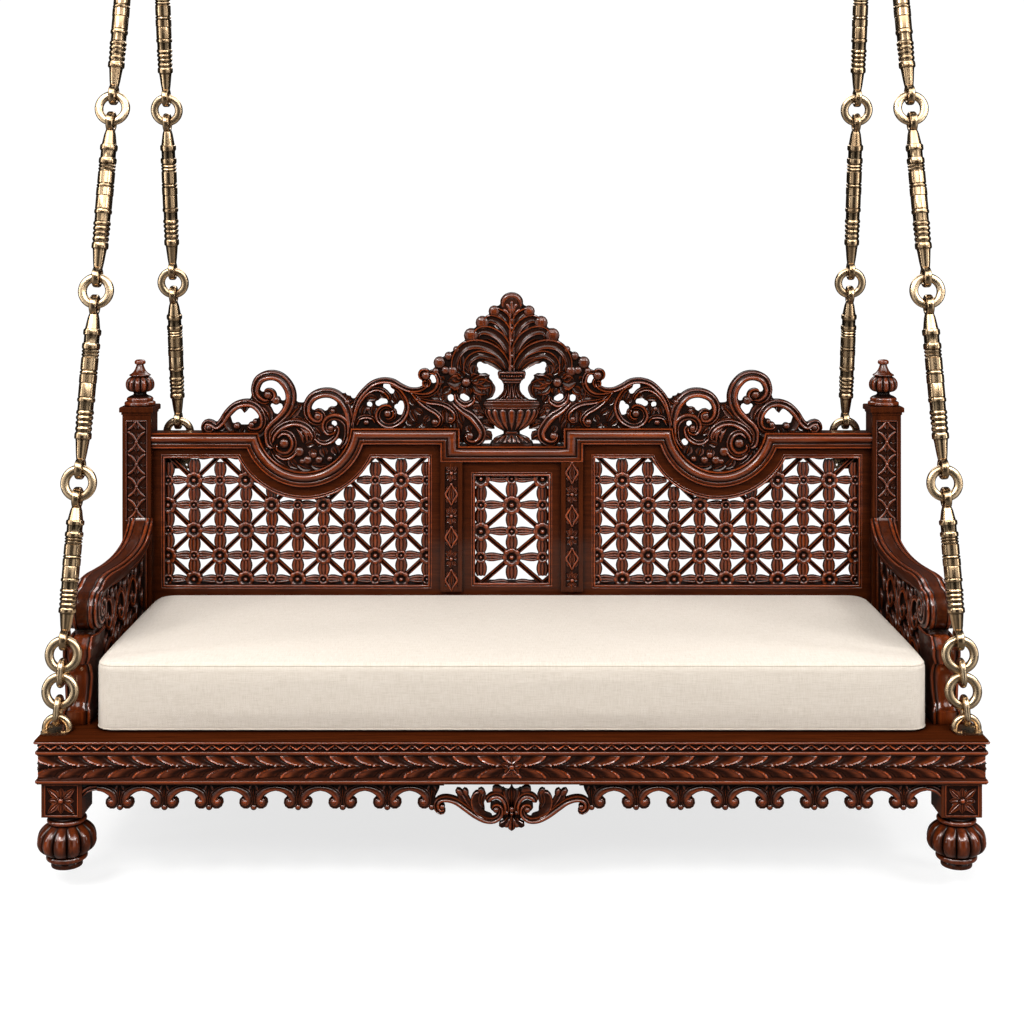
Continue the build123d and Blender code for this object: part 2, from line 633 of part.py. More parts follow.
rp_z = 712.0
with BuildPart() as rear_eye:
    with BuildSketch(Plane.XZ.offset(-back_y1)):
        with Locations((0, rp_z)):
            RectangleRounded(62, 74, 6)
    extrude(amount=-6)
    with BuildSketch(Plane.YZ.offset(-6)):
        with BuildLine():
            Polyline((back_y1 + 4, 690), (back_y1 + 4, 746), (rear_anchor[1] - 6, 751.2), (rear_anchor[1] + 18, 741), (rear_anchor[1] + 20, 722), (back_y1 + 14, 690), close=True)
        make_face()
        with Locations((rear_anchor[1], rear_anchor[2])):
            Circle(eye_ro)
        with Locations((rear_anchor[1], rear_anchor[2])):
            Circle(eye_ri, mode=Mode.SUBTRACT)
    extrude(amount=12)
    with Locations(*[Location((dx, back_y1 + 6, rp_z + dz), (-90, 0, 0)) for dx in (-22, 22) for dz in (-28, 28)]):
        Hole(2.6, depth=20)
with BuildPart() as rear_eye_plates:
    with Locations((-rear_anchor[0], 0), (rear_anchor[0], 0)):
        add(rear_eye.part)
save(rear_eye_plates.part, "rear_eye_plates")

with BuildPart() as eye_plate_screws:
    for x, y in screw_pts_front:
        with Locations((x, y, z_deck + 4)):
            Cylinder(5, 2.2, align=(Align.CENTER, Align.CENTER, Align.MIN))
        with Locations((x, y, z_deck + 5)):
            Cylinder(2.5, 22, align=(Align.CENTER, Align.CENTER, Align.MAX))
save(eye_plate_screws.part, "eye_plate_screws")

with BuildPart() as post_bolts:
    for x, y in bolt_pts:
        with Locations((x, y, z_band)):
            Cylinder(8.5, 6, align=(Align.CENTER, Align.CENTER, Align.MAX))
        with Locations((x, y, z_band - 1)):
            Cylinder(5.0, 68, align=(Align.CENTER, Align.CENTER, Align.MIN))
save(post_bolts.part, "post_bolts")

# ---------------------------------------------------------------- ceiling fittings, one above each end
ax, ay, az = apex
z_ceil = az + 46
with BuildPart() as bracket:
    with BuildSketch(Plane.XY.offset(z_ceil - 8)):
        RectangleRounded(120, 110, 10)
    extrude(amount=8)
    for s in (-1, 1):
        with BuildSketch(Plane.YZ.offset(s * 15 - 4)):
            with BuildLine():
                Polyline((-30, z_ceil - 6), (30, z_ceil - 6), (21, az - 5), (-21, az - 5), close=True)
            make_face()
            with Locations((0, az)):
                Circle(22)
            with Locations((0, az)):
                Circle(pin_r, mode=Mode.SUBTRACT)
        extrude(amount=8)
    with Locations((0, 0, z_ceil)):
        with GridLocations(90, 80, 2, 2):
            Hole(5.0, depth=20)
with BuildPart() as ceiling_plates:
    with Locations((-ax, ay), (ax, ay)):
        add(bracket.part)
save(ceiling_plates.part, "ceiling_plates")

with BuildPart() as pivot_pins:
    for s in (-1, 1):
        with Locations(Location((s * ax, ay, az), (0, 90, 0))):
            Cylinder(pin_r, 52)
        with Locations(Location((s * ax - 28.5, ay, az), (0, 90, 0)), Location((s * ax + 28.5, ay, az), (0, 90, 0))):
            Cylinder(12, 6)
save(pivot_pins.part, "pivot_pins")

with BuildPart() as pivot_bushes:
    for s in (-1, 1):
        with Locations(Location((s * ax, ay, az), (0, 90, 0))):
            Cylinder(bush_ro, 21)
            Cylinder(bush_ri, 21, mode=Mode.SUBTRACT)
save(pivot_bushes.part, "pivot_bushes")


def eye_yz(bottom, s):
    d, _ = unit(bottom, apex)
    return (apex[1] - d[1] * s, apex[2] - d[2] * s)


fy_eye, ry_eye = eye_yz(front_anchor, top_ring - eye_off), eye_yz(rear_anchor, top_ring - eye_off)
with BuildPart() as hanger:
    with BuildSketch(Plane.YZ.offset(-6)):
        with BuildLine():
            Polyline(
                (ay - 16, az - 8), (ay + 16, az - 8), (ry_eye[0] + 19, ry_eye[1] + 6), (ry_eye[0] + 14, ry_eye[1] - 14),
                (ry_eye[0] - 8, ry_eye[1] - 4), (fy_eye[0] + 8, fy_eye[1] - 4), (fy_eye[0] - 14, fy_eye[1] - 14),
                (fy_eye[0] - 19, fy_eye[1] + 6), close=True,
            )
        make_face()
        with Locations(fy_eye, ry_eye):
            Circle(eye_ro)
        with Locations(fy_eye, ry_eye):
            Circle(eye_ri, mode=Mode.SUBTRACT)
        with BuildLine():
            Polyline((ay - 7, az - 60), (ay + 7, az - 60), (ay + 22, az - 205), (ay - 27, az - 205), close=True)
        make_face(mode=Mode.SUBTRACT)
    extrude(amount=12)
    with Locations(Location((0, ay, az), (0, 90, 0))):
        Cylinder(20, 21)
        Cylinder(bush_ro, 21, mode=Mode.SUBTRACT)
with BuildPart() as hanger_yokes:
    with Locations((-ax, 0), (ax, 0)):
        add(hanger.part)
save(hanger_yokes.part, "hanger_yokes")
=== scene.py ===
import math

import bpy
import bmesh
import numpy as np
from mathutils import Matrix, Vector
from mathutils.geometry import tessellate_polygon


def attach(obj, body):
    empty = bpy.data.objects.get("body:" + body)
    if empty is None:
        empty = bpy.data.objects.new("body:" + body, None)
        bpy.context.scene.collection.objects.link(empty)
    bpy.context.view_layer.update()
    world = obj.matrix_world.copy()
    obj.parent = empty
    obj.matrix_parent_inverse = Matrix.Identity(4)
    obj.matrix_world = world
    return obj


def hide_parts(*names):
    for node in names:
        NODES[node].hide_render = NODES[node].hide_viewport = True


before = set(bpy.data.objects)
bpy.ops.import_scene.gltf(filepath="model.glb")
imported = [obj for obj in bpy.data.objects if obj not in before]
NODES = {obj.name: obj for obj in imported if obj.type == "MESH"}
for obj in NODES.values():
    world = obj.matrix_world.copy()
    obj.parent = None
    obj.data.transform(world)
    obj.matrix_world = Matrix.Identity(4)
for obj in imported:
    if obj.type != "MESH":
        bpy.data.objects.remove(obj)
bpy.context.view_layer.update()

SC = bpy.context.scene
MM = 0.001
DATUM = 15.0  # heights here are drawn from a line this far under the soles, as in the part; pieces are lowered by it
RNG = np.random.default_rng(7)


# ------------------------------------------------------------------ materials
class Mat:
    """A node material with short helpers, so that each one below reads as a list of layers."""

    def __init__(s, name):
        s.m = bpy.data.materials.new(name)
        s.m.use_nodes = True
        s.t = s.m.node_tree
        s.b = s.t.nodes["Principled BSDF"]

    def n(s, kind, **values):
        node = s.t.nodes.new(kind)
        for k, v in values.items():
            if hasattr(node, k):
                setattr(node, k, v)
            else:
                node.inputs[k.replace("_", " ")].default_value = v
        return node

    def link(s, a, b):
        s.t.links.new(a, b)

    def coords(s, scale=(1, 1, 1)):
        c = s.n("ShaderNodeTexCoord")
        m = s.n("ShaderNodeMapping")
        m.inputs["Scale"].default_value = scale
        s.link(c.outputs["Object"], m.inputs["Vector"])
        return m.outputs["Vector"]

    def noise(s, vec, scale, detail=4.0, rough=0.55, distort=0.0):
        n = s.n("ShaderNodeTexNoise")
        n.inputs["Scale"].default_value = scale
        n.inputs["Detail"].default_value = detail
        n.inputs["Roughness"].default_value = rough
        n.inputs["Distortion"].default_value = distort
        s.link(vec, n.inputs["Vector"])
        return n.outputs["Fac"]

    def ramp(s, fac, stops):
        r = s.n("ShaderNodeValToRGB")
        el = r.color_ramp.elements
        while len(el) < len(stops):
            el.new(0.5)
        for e, (p, c) in zip(el, stops):
            e.position = p
            e.color = (*c, 1) if len(c) == 3 else c
        s.link(fac, r.inputs["Fac"])
        return r.outputs["Color"]

    def math(s, op, a, b, clamp=False):
        m = s.n("ShaderNodeMath")
        m.operation = op
        m.use_clamp = clamp
        for i, x in enumerate((a, b)):
            if isinstance(x, (int, float)):
                m.inputs[i].default_value = x
            else:
                s.link(x, m.inputs[i])
        return m.outputs[0]

    def mix(s, fac, a, b, mode="MIX"):
        m = s.n("ShaderNodeMix")
        m.data_type = "RGBA"
        m.blend_type = mode
        for sock, x in ((m.inputs[0], fac), (m.inputs[6], a), (m.inputs[7], b)):
            if isinstance(x, (int, float)):
                sock.default_value = x
            elif isinstance(x, tuple):
                sock.default_value = (*x, 1) if len(x) == 3 else x
            else:
                s.link(x, sock)
        return m.outputs[2]

    def bump(s, height, strength, distance):
        b = s.n("ShaderNodeBump")
        b.inputs["Strength"].default_value = strength
        b.inputs["Distance"].default_value = distance
        s.link(height, b.inputs["Height"])
        s.link(b.outputs["Normal"], s.b.inputs["Normal"])
        return b


def wood(name, axis, carved=True, tone=1.0, spec=None, coat=None):
    """Rosewood under gloss lacquer. axis is the direction of the grain; carved pieces carry the 'cav' attribute,
    0 deep in a recess and 1 on a raised edge, which paints shade into the recesses and highlights on the edges."""
    m = Mat(name)
    stretch = {"x": (0.9, 14, 14), "y": (14, 0.9, 14), "z": (14, 14, 0.9)}[axis]
    grain = m.noise(m.coords(stretch), 9.0, 6.0, 0.62, 0.6)
    fine = m.noise(m.coords(tuple(3.2 * c for c in stretch)), 26.0, 4.0, 0.6)
    blotch = m.noise(m.coords(), 5.5, 3.0, 0.5)
    pores = m.noise(m.coords(tuple(4 * c for c in stretch)), 60.0, 2.0, 0.6)
    base = m.ramp(grain, [
        (0.28, (0.040 * tone, 0.0078 * tone, 0.0020 * tone)),
        (0.46, (0.072 * tone, 0.0136 * tone, 0.0030 * tone)),
        (0.62, (0.110 * tone, 0.0212 * tone, 0.0042 * tone)),
        (0.80, (0.160 * tone, 0.0340 * tone, 0.0066 * tone)),
    ])
    base = m.mix(m.math("MULTIPLY", fine, 0.16), base, (0.118 * tone, 0.0280 * tone, 0.0080 * tone))
    base = m.mix(m.math("MULTIPLY", blotch, 0.45), base, (0.040 * tone, 0.0092 * tone, 0.0036 * tone))
    if carved:
        a = m.n("ShaderNodeAttribute")
        a.attribute_name = "cav"
        v = m.math("ADD", a.outputs["Fac"], m.math("MULTIPLY", m.math("SUBTRACT", grain, 0.5), 0.25), True)
        # painted shade and highlight: the carving depth darkens the colour nearly to black in the recesses and
        # brightens it up to several times on the raised edges
        dark = m.ramp(v, [(0.0, (0.05, 0.038, 0.035)), (0.18, (0.12, 0.095, 0.09)), (0.42, (0.47, 0.45, 0.44)),
                          (0.64, (1.02, 0.95, 0.88)), (0.86, (2.15, 1.85, 1.50)), (1.0, (3.6, 3.1, 2.5))])
        base = m.mix(1.0, base, dark, "MULTIPLY")
        rough = m.ramp(v, [(0.0, (0.70,) * 3), (0.30, (0.50,) * 3), (0.7, (0.30,) * 3), (1.0, (0.24,) * 3)])
        sheen = m.ramp(v, [(0.0, (0.05,) * 3), (0.35, (0.24,) * 3), (0.75, (0.72,) * 3), (1.0, (0.98,) * 3)])
        m.link(sheen if coat is None else m.math("MULTIPLY", sheen, coat), m.b.inputs["Coat Weight"])
    else:
        rough = m.ramp(blotch, [(0.3, (0.34,) * 3), (0.7, (0.24,) * 3)])
        m.b.inputs["Coat Weight"].default_value = 0.32 if coat is None else coat
    # painted shade: ambient occlusion darkens the colour in the creases
    ao = m.n("ShaderNodeAmbientOcclusion")
    ao.samples = 6
    ao.inputs["Distance"].default_value = 0.020
    painted_crease_shade = m.ramp(ao.outputs["AO"], [(0.24, (0.07, 0.065, 0.065)), (0.58, (0.42, 0.40, 0.40)), (0.88, (1.0, 1.0, 1.0))])
    base = m.mix(1.0, base, painted_crease_shade, "MULTIPLY")
    m.link(base, m.b.inputs["Base Color"])
    m.link(rough, m.b.inputs["Roughness"])
    m.b.inputs["Specular IOR Level"].default_value = 0.08 if spec is None else spec
    m.b.inputs["Specular Tint"].default_value = (1.0, 0.80, 0.70, 1)
    m.b.inputs["Coat Roughness"].default_value = 0.10
    m.b.inputs["Coat IOR"].default_value = 1.5
    h = m.math("ADD", m.math("MULTIPLY", grain, 0.6), m.math("MULTIPLY", pores, 0.4))
    m.bump(h, 0.10, 0.0003)
    return m.m


def metal(name, lo, mid, hi, rough, scratch=0.5, relief=0.006):
    """Aged metal: a dull tone in the hollows and rubbed bright on the rims, by noise at two sizes and the edge mask."""
    m = Mat(name)
    cloud = m.noise(m.coords(), 22.0, 4.0, 0.55)
    speck = m.noise(m.coords(), 190.0, 3.0, 0.6)
    brush = m.noise(m.coords((2, 2, 9)), 60.0, 3.0, 0.6)
    v = m.math("ADD", m.math("MULTIPLY", cloud, 0.75), m.math("MULTIPLY", speck, 0.25))
    col = m.ramp(v, [(0.32, lo), (0.48, mid), (0.66, hi)])
    a = m.n("ShaderNodeAttribute")  # hollows of the turned pieces are dull, only on meshes that carry the mask
    a.attribute_name = "tarnish"
    col = m.mix(m.math("MULTIPLY", a.outputs["Fac"], 0.86), col, (0.045, 0.033, 0.020))
    m.link(col, m.b.inputs["Base Color"])
    m.b.inputs["Metallic"].default_value = 1.0
    r = m.ramp(v, [(0.3, (rough * 1.15,) * 3), (0.7, (rough * 0.92,) * 3)])
    m.link(r, m.b.inputs["Roughness"])
    m.bump(m.math("ADD", m.math("MULTIPLY", speck, 0.5), m.math("MULTIPLY", brush, scratch)), relief, 0.0001)
    return m.m


def linen(name, tint=(1, 1, 1), weave=1.0):
    """Natural linen: two thread directions with slubs, which cover the colour and bump; the roughness is even."""
    m = Mat(name)
    vec = m.coords()
    c = m.n("ShaderNodeTexCoord")
    sep = m.n("ShaderNodeSeparateXYZ")
    warp = m.noise(vec, 130.0, 3.0, 0.6)
    m.link(c.outputs["Object"], sep.inputs[0])
    jitter = m.math("MULTIPLY", m.math("SUBTRACT", warp, 0.5), 2.4)

    def threads(sock, pitch):
        return m.math("SINE", m.math("ADD", m.math("MULTIPLY", sock, 2 * math.pi / pitch), jitter), 0.0)

    tx = threads(sep.outputs["X"], 0.0021)
    ty = threads(m.math("ADD", sep.outputs["Y"], sep.outputs["Z"]), 0.0021)
    cross = m.math("MULTIPLY", tx, ty)
    slub_x = m.noise(m.coords((1, 18, 18)), 42.0, 3.0, 0.65)
    slub_z = m.noise(m.coords((20, 1.1, 1.1)), 42.0, 3.0, 0.65)
    slub = m.math("ADD", m.math("MULTIPLY", slub_x, 0.5), m.math("MULTIPLY", slub_z, 0.5))
    blotch = m.noise(vec, 4.0, 3.0, 0.5)
    base = m.ramp(slub, [
        (0.36, (0.580 * tint[0], 0.515 * tint[1], 0.435 * tint[2])),
        (0.50, (0.685 * tint[0], 0.615 * tint[1], 0.535 * tint[2])),
        (0.66, (0.755 * tint[0], 0.695 * tint[1], 0.625 * tint[2])),
    ])
    base = m.mix(m.math("MULTIPLY", m.math("ADD", cross, 1.0), 0.07), base, (0.42, 0.36, 0.29))
    base = m.mix(m.math("MULTIPLY", blotch, 0.18), base, (0.74 * tint[0], 0.68 * tint[1], 0.60 * tint[2]))
    m.link(base, m.b.inputs["Base Color"])
    m.b.inputs["Roughness"].default_value = 0.93
    m.b.inputs["Specular IOR Level"].default_value = 0.2
    m.b.inputs["Sheen Weight"].default_value = 0.18
    m.b.inputs["Sheen Roughness"].default_value = 0.5
    h = m.math("ADD", m.math("MULTIPLY", cross, 0.35 * weave), m.math("MULTIPLY", slub, 1.4 * weave))
    m.bump(h, 0.5, 0.0006)
    return m.m


W_X = wood("rosewood_grain_x", "x", False, 0.62)
W_Y = wood("rosewood_grain_y", "y", False, 0.62)
W_Z = wood("rosewood_grain_z", "z", False, 0.62)
C_X = wood("rosewood_carved_x", "x", True, 0.86)
C_Y = wood("rosewood_carved_y", "y", True, 0.80)
C_Z = wood("rosewood_carved_z", "z", True, 0.86)
C_ARM = wood("rosewood_carved_arm", "y", True, 1.0, None, 0.45)
C_BAND = wood("rosewood_carved_band", "x", True, 1.5)
C_BANDY = wood("rosewood_carved_band_end", "y", True, 1.4)
# painted light: a copy of the carved rosewood 3.7 times brighter, standing in for light on the zigzag, which lies in
# the shade of the nosing
C_ZIG_BRIGHTENED = wood("rosewood_zigzag_brightened", "x", True, 3.7)
C_BEAD = wood("rosewood_beads", "x", True, 1.30)
C_BLOCK = wood("rosewood_carved_block", "z", True, 1.75)
# painted highlight: a lighter copy of the carved rosewood, so that the pilaster carving shows brighter highlights
C_PIL = wood("rosewood_carved_pilaster", "z", True, 1.35)
W_LEG = wood("rosewood_leg_blocks", "z", False, 1.1)
W_DECK = wood("rosewood_deck", "x", False, 0.66, 0.0, 0.0)
BRASS = metal("antique_brass", (0.335, 0.235, 0.138), (0.415, 0.302, 0.185), (0.485, 0.366, 0.235), 0.26, 0.2, 0.0012)
# a darker copy of the brass for the rods: partly their browner tone, partly painted shade that dims the key light's
# bright reflections on them
ROD_BRASS_DIMMED = metal("antique_brass_turned", (0.240, 0.158, 0.088), (0.290, 0.198, 0.113), (0.345, 0.245, 0.146), 0.22, 0.2, 0.0008)
STEEL = metal("brushed_steel", (0.30, 0.30, 0.30), (0.52, 0.52, 0.51), (0.70, 0.70, 0.69), 0.30, 0.9)
LINEN = linen("linen_cream")
WELT = linen("linen_welt", (0.93, 0.92, 0.90), 0.7)
FOAM = linen("foam_core", (1.0, 0.97, 0.85), 0.3)


# ------------------------------------------------------------------ mesh helpers
class Mesh:
    """Collects vertices, faces and the carving depth of each vertex, in mm, and makes one object of them."""

    def __init__(s):
        s.v, s.f, s.c, s.n = [], [], [], 0

    def add(s, verts, faces, cav):
        verts = np.asarray(verts, float).reshape(-1, 3)
        cav = np.broadcast_to(np.asarray(cav, float), (len(verts),))
        s.v.append(verts)
        s.c.append(cav)
        s.f.extend([tuple(i + s.n for i in f) for f in faces])
        s.n += len(verts)

    def merge(s, other, fn=None):
        for v, c in zip(other.v, other.c):
            s.v.append(fn(v) if fn else v)
            s.c.append(c)
        s.f.extend([tuple(i + s.n for i in f) for f in other.f])
        s.n += other.n

    def flipped(s):
        s.f = [tuple(reversed(f)) for f in s.f]
        return s

    def obj(s, name, mat, body="seat", nodes=(), slot="rosewood", sharp=38, smooth=True, weld=False):
        me = bpy.data.meshes.new(name)
        me.from_pydata(((np.concatenate(s.v) - np.array([0, 0, DATUM])) * MM).tolist(), [], s.f)
        # the carving depth drives painted shade in the recesses and painted highlights on the raised edges of the
        # carved wood
        a = me.attributes.new("cav", "FLOAT", "POINT")
        a.data.foreach_set("value", np.concatenate(s.c).astype(np.float32))
        me.validate()
        if smooth:
            me.polygons.foreach_set("use_smooth", [True] * len(me.polygons))
            me.set_sharp_from_angle(angle=math.radians(sharp))
        me.materials.append(mat)
        o = bpy.data.objects.new(name, me)
        SC.collection.objects.link(o)
        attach(o, body)
        if nodes:
            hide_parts(*nodes)
        return o


def grid_faces(n, m, wrap_m=False, wrap_n=False):
    f = []
    for i in range(n if wrap_n else n - 1):
        for j in range(m if wrap_m else m - 1):
            i2, j2 = (i + 1) % n, (j + 1) % m
            f.append((i * m + j, i * m + j2, i2 * m + j2, i2 * m + j))
    return f


def catmull(pts, step):
    """Evenly spaced points on a smooth line through pts. Also gives each point's share of the length."""
    p = np.asarray(pts, float)
    if len(p) < 3:
        p = np.array([p[0] + (p[-1] - p[0]) * t for t in (0, 0.5, 1)])
    q = np.vstack([2 * p[0] - p[1], p, 2 * p[-1] - p[-2]])
    out = []
    for i in range(1, len(q) - 2):
        a, b, c, d = q[i - 1], q[i], q[i + 1], q[i + 2]
        for t in np.linspace(0, 1, 12, endpoint=False):
            out.append(0.5 * (2 * b + (c - a) * t + (2 * a - 5 * b + 4 * c - d) * t * t + (3 * b - a - 3 * c + d) * t ** 3))
    out.append(p[-1])
    out = np.array(out)
    d = np.r_[0, np.cumsum(np.linalg.norm(np.diff(out, axis=0), axis=1))]
    n = max(5, int(d[-1] / step) + 1)
    s = np.linspace(0, d[-1], n)
    return np.stack([np.interp(s, d, out[:, k]) for k in range(out.shape[1])], 1), s / d[-1], d[-1]


# Across a stroke: (place from -1 to 1, height, carving depth).
PROFILES = {
    "CH": [(-1, .22, .03), (-.93, .58, .35), (-.78, .85, .72), (-.55, 1, .98), (-.28, .98, .84), (-.04, .80, .5), (.12, .58, .12),
           (.22, .56, .10), (.36, .74, .55), (.54, .84, .85), (.74, .78, .6), (.90, .50, .25), (1, .22, .03)],
    "RD": [(-1, .25, .04), (-.86, .60, .34), (-.6, .84, .60), (-.3, .96, .80), (0, 1, .88), (.3, .96, .76), (.6, .84, .52), (.86, .60, .3), (1, .25, .04)],
    "LF": [(-1, .35, .1), (-.85, .70, .85), (-.55, .58, .40), (-.22, .55, .30), (-.10, .86, .6), (0, .95, .95), (.10, .86, .6), (.22, .55, .28),
           (.55, .58, .36), (.85, .70, .75), (1, .35, .1)],
    "RM": [(-1, .30, .05), (-.92, .90, .8), (-.78, 1, 1), (-.6, .80, .45), (-.2, .62, .34), (.2, .52, .30), (.6, .44, .26), (.9, .40, .3), (1, .2, .05)],
    "FR": [(-1, .30, .06), (-.93, .80, .55), (-.82, 1, .98), (-.70, .98, .92), (-.58, .80, .40), (-.46, .56, .14), (-.2, .44, .24), (.15, .42, .34), (.42, .50, .40),
           (.58, .64, .62), (.72, .72, .85), (.85, .66, .62), (.94, .46, .25), (1, .22, .04)],
    "AR": [(-1, .22, .04), (-.90, .66, .40), (-.72, .92, .80), (-.50, 1, .95), (-.25, .99, .80), (0, .95, .62), (.25, .86, .50), (.42, .66, .28), (.52, .52, .12),
           (.64, .56, .40), (.80, .60, .62), (.93, .48, .25), (1, .22, .04)],
    "SP": [(-1, .30, .06), (-.92, .80, .70), (-.80, 1, 1), (-.66, .86, .70), (-.48, .62, .36), (-.2, .50, .30), (.1, .48, .32), (.4, .58, .40),
           (.62, .84, .66), (.78, 1, .95), (.91, .80, .62), (1, .30, .06)],
    "VC": [(-1, .55, .3), (-.82, .92, .85), (-.5, 1, .72), (-.2, .55, .35), (0, .25, .08), (.2, .55, .35), (.5, 1, .72), (.82, .92, .9), (1, .55, .3)],
    "BK": [(-1, .55, .02), (-.5, 1, .03), (.5, 1, .03), (1, .55, .02)],
}

PROFILES["AL"] = [(-a_, h_, c_) for a_, h_, c_ in reversed(PROFILES["AR"])]


def stroke(out, pts, w, h, z0=0.0, kind="CH", zb=None, ends="rr", step=None, both=False, cav=1.0, wob=None):
    """A carved band along a smooth line in a plane: w is its half width at evenly spread stations, h its height above z0,
    zb the level its sides go down to. ends: r round, p pointed, f flat, t thin, at the start and the end."""
    w = np.atleast_1d(np.asarray(w, float))
    wm = float(w.max())
    step = step or max(1.6, wm * 0.42)
    line, t, length = catmull(pts, step)
    n = len(line)
    width = np.interp(t, np.linspace(0, 1, len(w)), w) if len(w) > 1 else np.full(n, w[0])
    d = t * length
    high = np.ones(n)
    for e, dist in ((ends[0], d), (ends[1], length - d)):
        if e == "r":
            r = min(wm, length * 0.3)
            x = np.clip(dist / r, 0, 1)
            width = width * np.sqrt(np.clip(1 - (1 - x) ** 2, 0.02, 1))
            high *= 0.55 + 0.45 * np.sqrt(np.clip(1 - (1 - x) ** 2, 0, 1))
        elif e == "p":
            x = np.clip(dist / min(2.4 * wm, length * 0.5), 0, 1)
            width = width * np.clip(x ** 0.55, 0.08, 1)
            high *= 0.65 + 0.35 * x ** 0.6
        elif e == "t":
            x = np.clip(dist / (length * 0.6), 0, 1)
            width = width * (0.25 + 0.75 * x)
            high *= 0.8 + 0.2 * x
    tan = np.gradient(line, axis=0)
    tan /= np.maximum(np.linalg.norm(tan, axis=1, keepdims=True), 1e-9)
    nor = np.stack([-tan[:, 1], tan[:, 0]], 1)
    ang = np.unwrap(np.arctan2(tan[:, 1], tan[:, 0]))
    k = np.gradient(ang) / max(length / (n - 1), 1e-9)
    prof = PROFILES[kind]
    zb = z0 if zb is None else zb
    cols = [(-1.0, None, 0.0)] + list(prof) + [(1.0, None, 0.0)]
    V, C = [], []
    for s, hh, cc in cols:
        side = np.where(s * k > 0, np.minimum(width, 0.9 / np.maximum(np.abs(k), 1e-6)), width)
        xy = line + nor * (side * s)[:, None]
        z = np.full(n, zb) if hh is None else z0 + h * hh * high
        V.append(np.column_stack([xy, z]))
        C.append(np.full(n, cc * cav))
    m = len(cols)
    V = np.stack(V, 1)
    C = np.stack(C, 1)
    F = grid_faces(n, m)
    F = [tuple(reversed(f)) for f in F]
    # close the two ends
    F.append(tuple(range(m)))
    F.append(tuple((n - 1) * m + j for j in reversed(range(m))))
    if both:
        V2 = V.copy()
        V2[:, :, 2] *= -1
        base = n * m
        F = F[:-2]
        F += [tuple(base + i for i in reversed(f)) for f in F]
        for i in (0, n - 1):
            for j in range(m - 1):
                a, b = i * m + j, i * m + j + 1
                q = (a, b, base + b, base + a)
                F.append(q if i == 0 else tuple(reversed(q)))
        out.add(np.concatenate([V.reshape(-1, 3), V2.reshape(-1, 3)]), F, np.concatenate([C.ravel(), C.ravel()]))
    else:
        out.add(V.reshape(-1, 3), F, C.ravel())


def backing(out, pts, w, z, both=False, grow=3.0, zb=0.0):
    w = np.atleast_1d(np.asarray(w, float)) + grow
    stroke(out, pts, w, z, 0.0, "BK", zb=zb, ends="rr", step=max(3.0, float(w.max()) * 0.6), both=both)


def ball(out, c, r, z, zs=1.0, hi=0.9, lo=0.1, seg=14, rings=6, squash=1.0, base=None):
    """A round boss: z is the level of its middle; it bulges r*zs forward."""
    V, C = [], []
    for i in range(rings + 1):
        a = math.pi / 2 * i / rings
        for j in range(seg):
            b = 2 * math.pi * j / seg
            V.append((c[0] + r * math.cos(a) * math.cos(b), c[1] + r * squash * math.cos(a) * math.sin(b), z + r * zs * math.sin(a)))
            C.append(lo + (hi - lo) * math.sin(a) ** 0.8)
    F = []
    for i in range(rings):
        for j in range(seg):
            j2 = (j + 1) % seg
            F.append((i * seg + j, i * seg + j2, (i + 1) * seg + j2, (i + 1) * seg + j))
    if base is not None:
        n0 = len(V)
        for j in range(seg):
            b = 2 * math.pi * j / seg
            V.append((c[0] + r * math.cos(b), c[1] + r * squash * math.sin(b), base))
            C.append(0.0)
        for j in range(seg):
            j2 = (j + 1) % seg
            F.append((n0 + j, n0 + j2, j2, j))
    out.add(V, F, C)


def petal(out, a, b, w, h, z0, kind="LF", zb=None, bend=0.0, cav=1.0):
    """A leaf or petal from a to b, widest at its middle."""
    a, b = np.array(a, float), np.array(b, float)
    d = b - a
    nrm = np.array([-d[1], d[0]]) * bend
    pts = [a, a + d * 0.33 + nrm * 0.8, a + d * 0.66 + nrm, b]
    stroke(out, pts, [w * 0.55, w * 1.0, w * 1.05, w * 0.95, w * 0.6], h, z0, kind, zb=zb, ends="pp", cav=cav, step=max(1.5, w * 0.4))


def spiral(centre, r, start, turns, grow=0.32, n=14):
    """Points winding in to a centre, from the angle start (degrees); turns is signed."""
    out = []
    for i in range(n):
        t = i / (n - 1)
        rr = r * (1 - (1 - grow) * t)
        a = math.radians(start) + 2 * math.pi * turns * t
        out.append((centre[0] + rr * math.cos(a), centre[1] + rr * math.sin(a)))
    return out


def plate(out, poly, z_lo, z_hi, c_top=0.5, c_side=0.2, bevel=0.0, back=True):
    """A flat piece of any outline in the plane, anticlockwise, between two levels, with an optional bevel on its front."""
    poly = np.asarray(poly, float)
    n = len(poly)
    nxt, prv = np.roll(poly, -1, 0), np.roll(poly, 1, 0)
    t = nxt - prv
    t /= np.maximum(np.linalg.norm(t, axis=1, keepdims=True), 1e-9)
    inn = np.stack([-t[:, 1], t[:, 0]], 1)
    rings = [(0, z_lo, c_side * 0.5)]
    if bevel:
        rings += [(0, z_hi - bevel, c_side), (bevel * 0.35, z_hi - bevel * 0.35, 0.95), (bevel, z_hi, c_top)]
    else:
        rings += [(0, z_hi, c_top)]
    V, C = [], []
    for off, z, c in rings:
        q = poly + inn * off
        V.append(np.column_stack([q, np.full(n, z)]))
        C.append(np.full(n, c))
    F = []
    for i in range(len(rings) - 1):
        for j in range(n):
            j2 = (j + 1) % n
            F.append((i * n + j, i * n + j2, (i + 1) * n + j2, (i + 1) * n + j))
    top = (len(rings) - 1) * n
    tri = tessellate_polygon([[Vector((x, y, 0)) for x, y in (poly + inn * rings[-1][0])]])
    for a, b, c in tri:
        p = poly
        area = (p[b][0] - p[a][0]) * (p[c][1] - p[a][1]) - (p[c][0] - p[a][0]) * (p[b][1] - p[a][1])
        if area < 0:
            b, c = c, b
        F.append((top + a, top + b, top + c))
        if back:
            F.append((c, b, a))
    out.add(np.concatenate(V), F, np.concatenate(C))


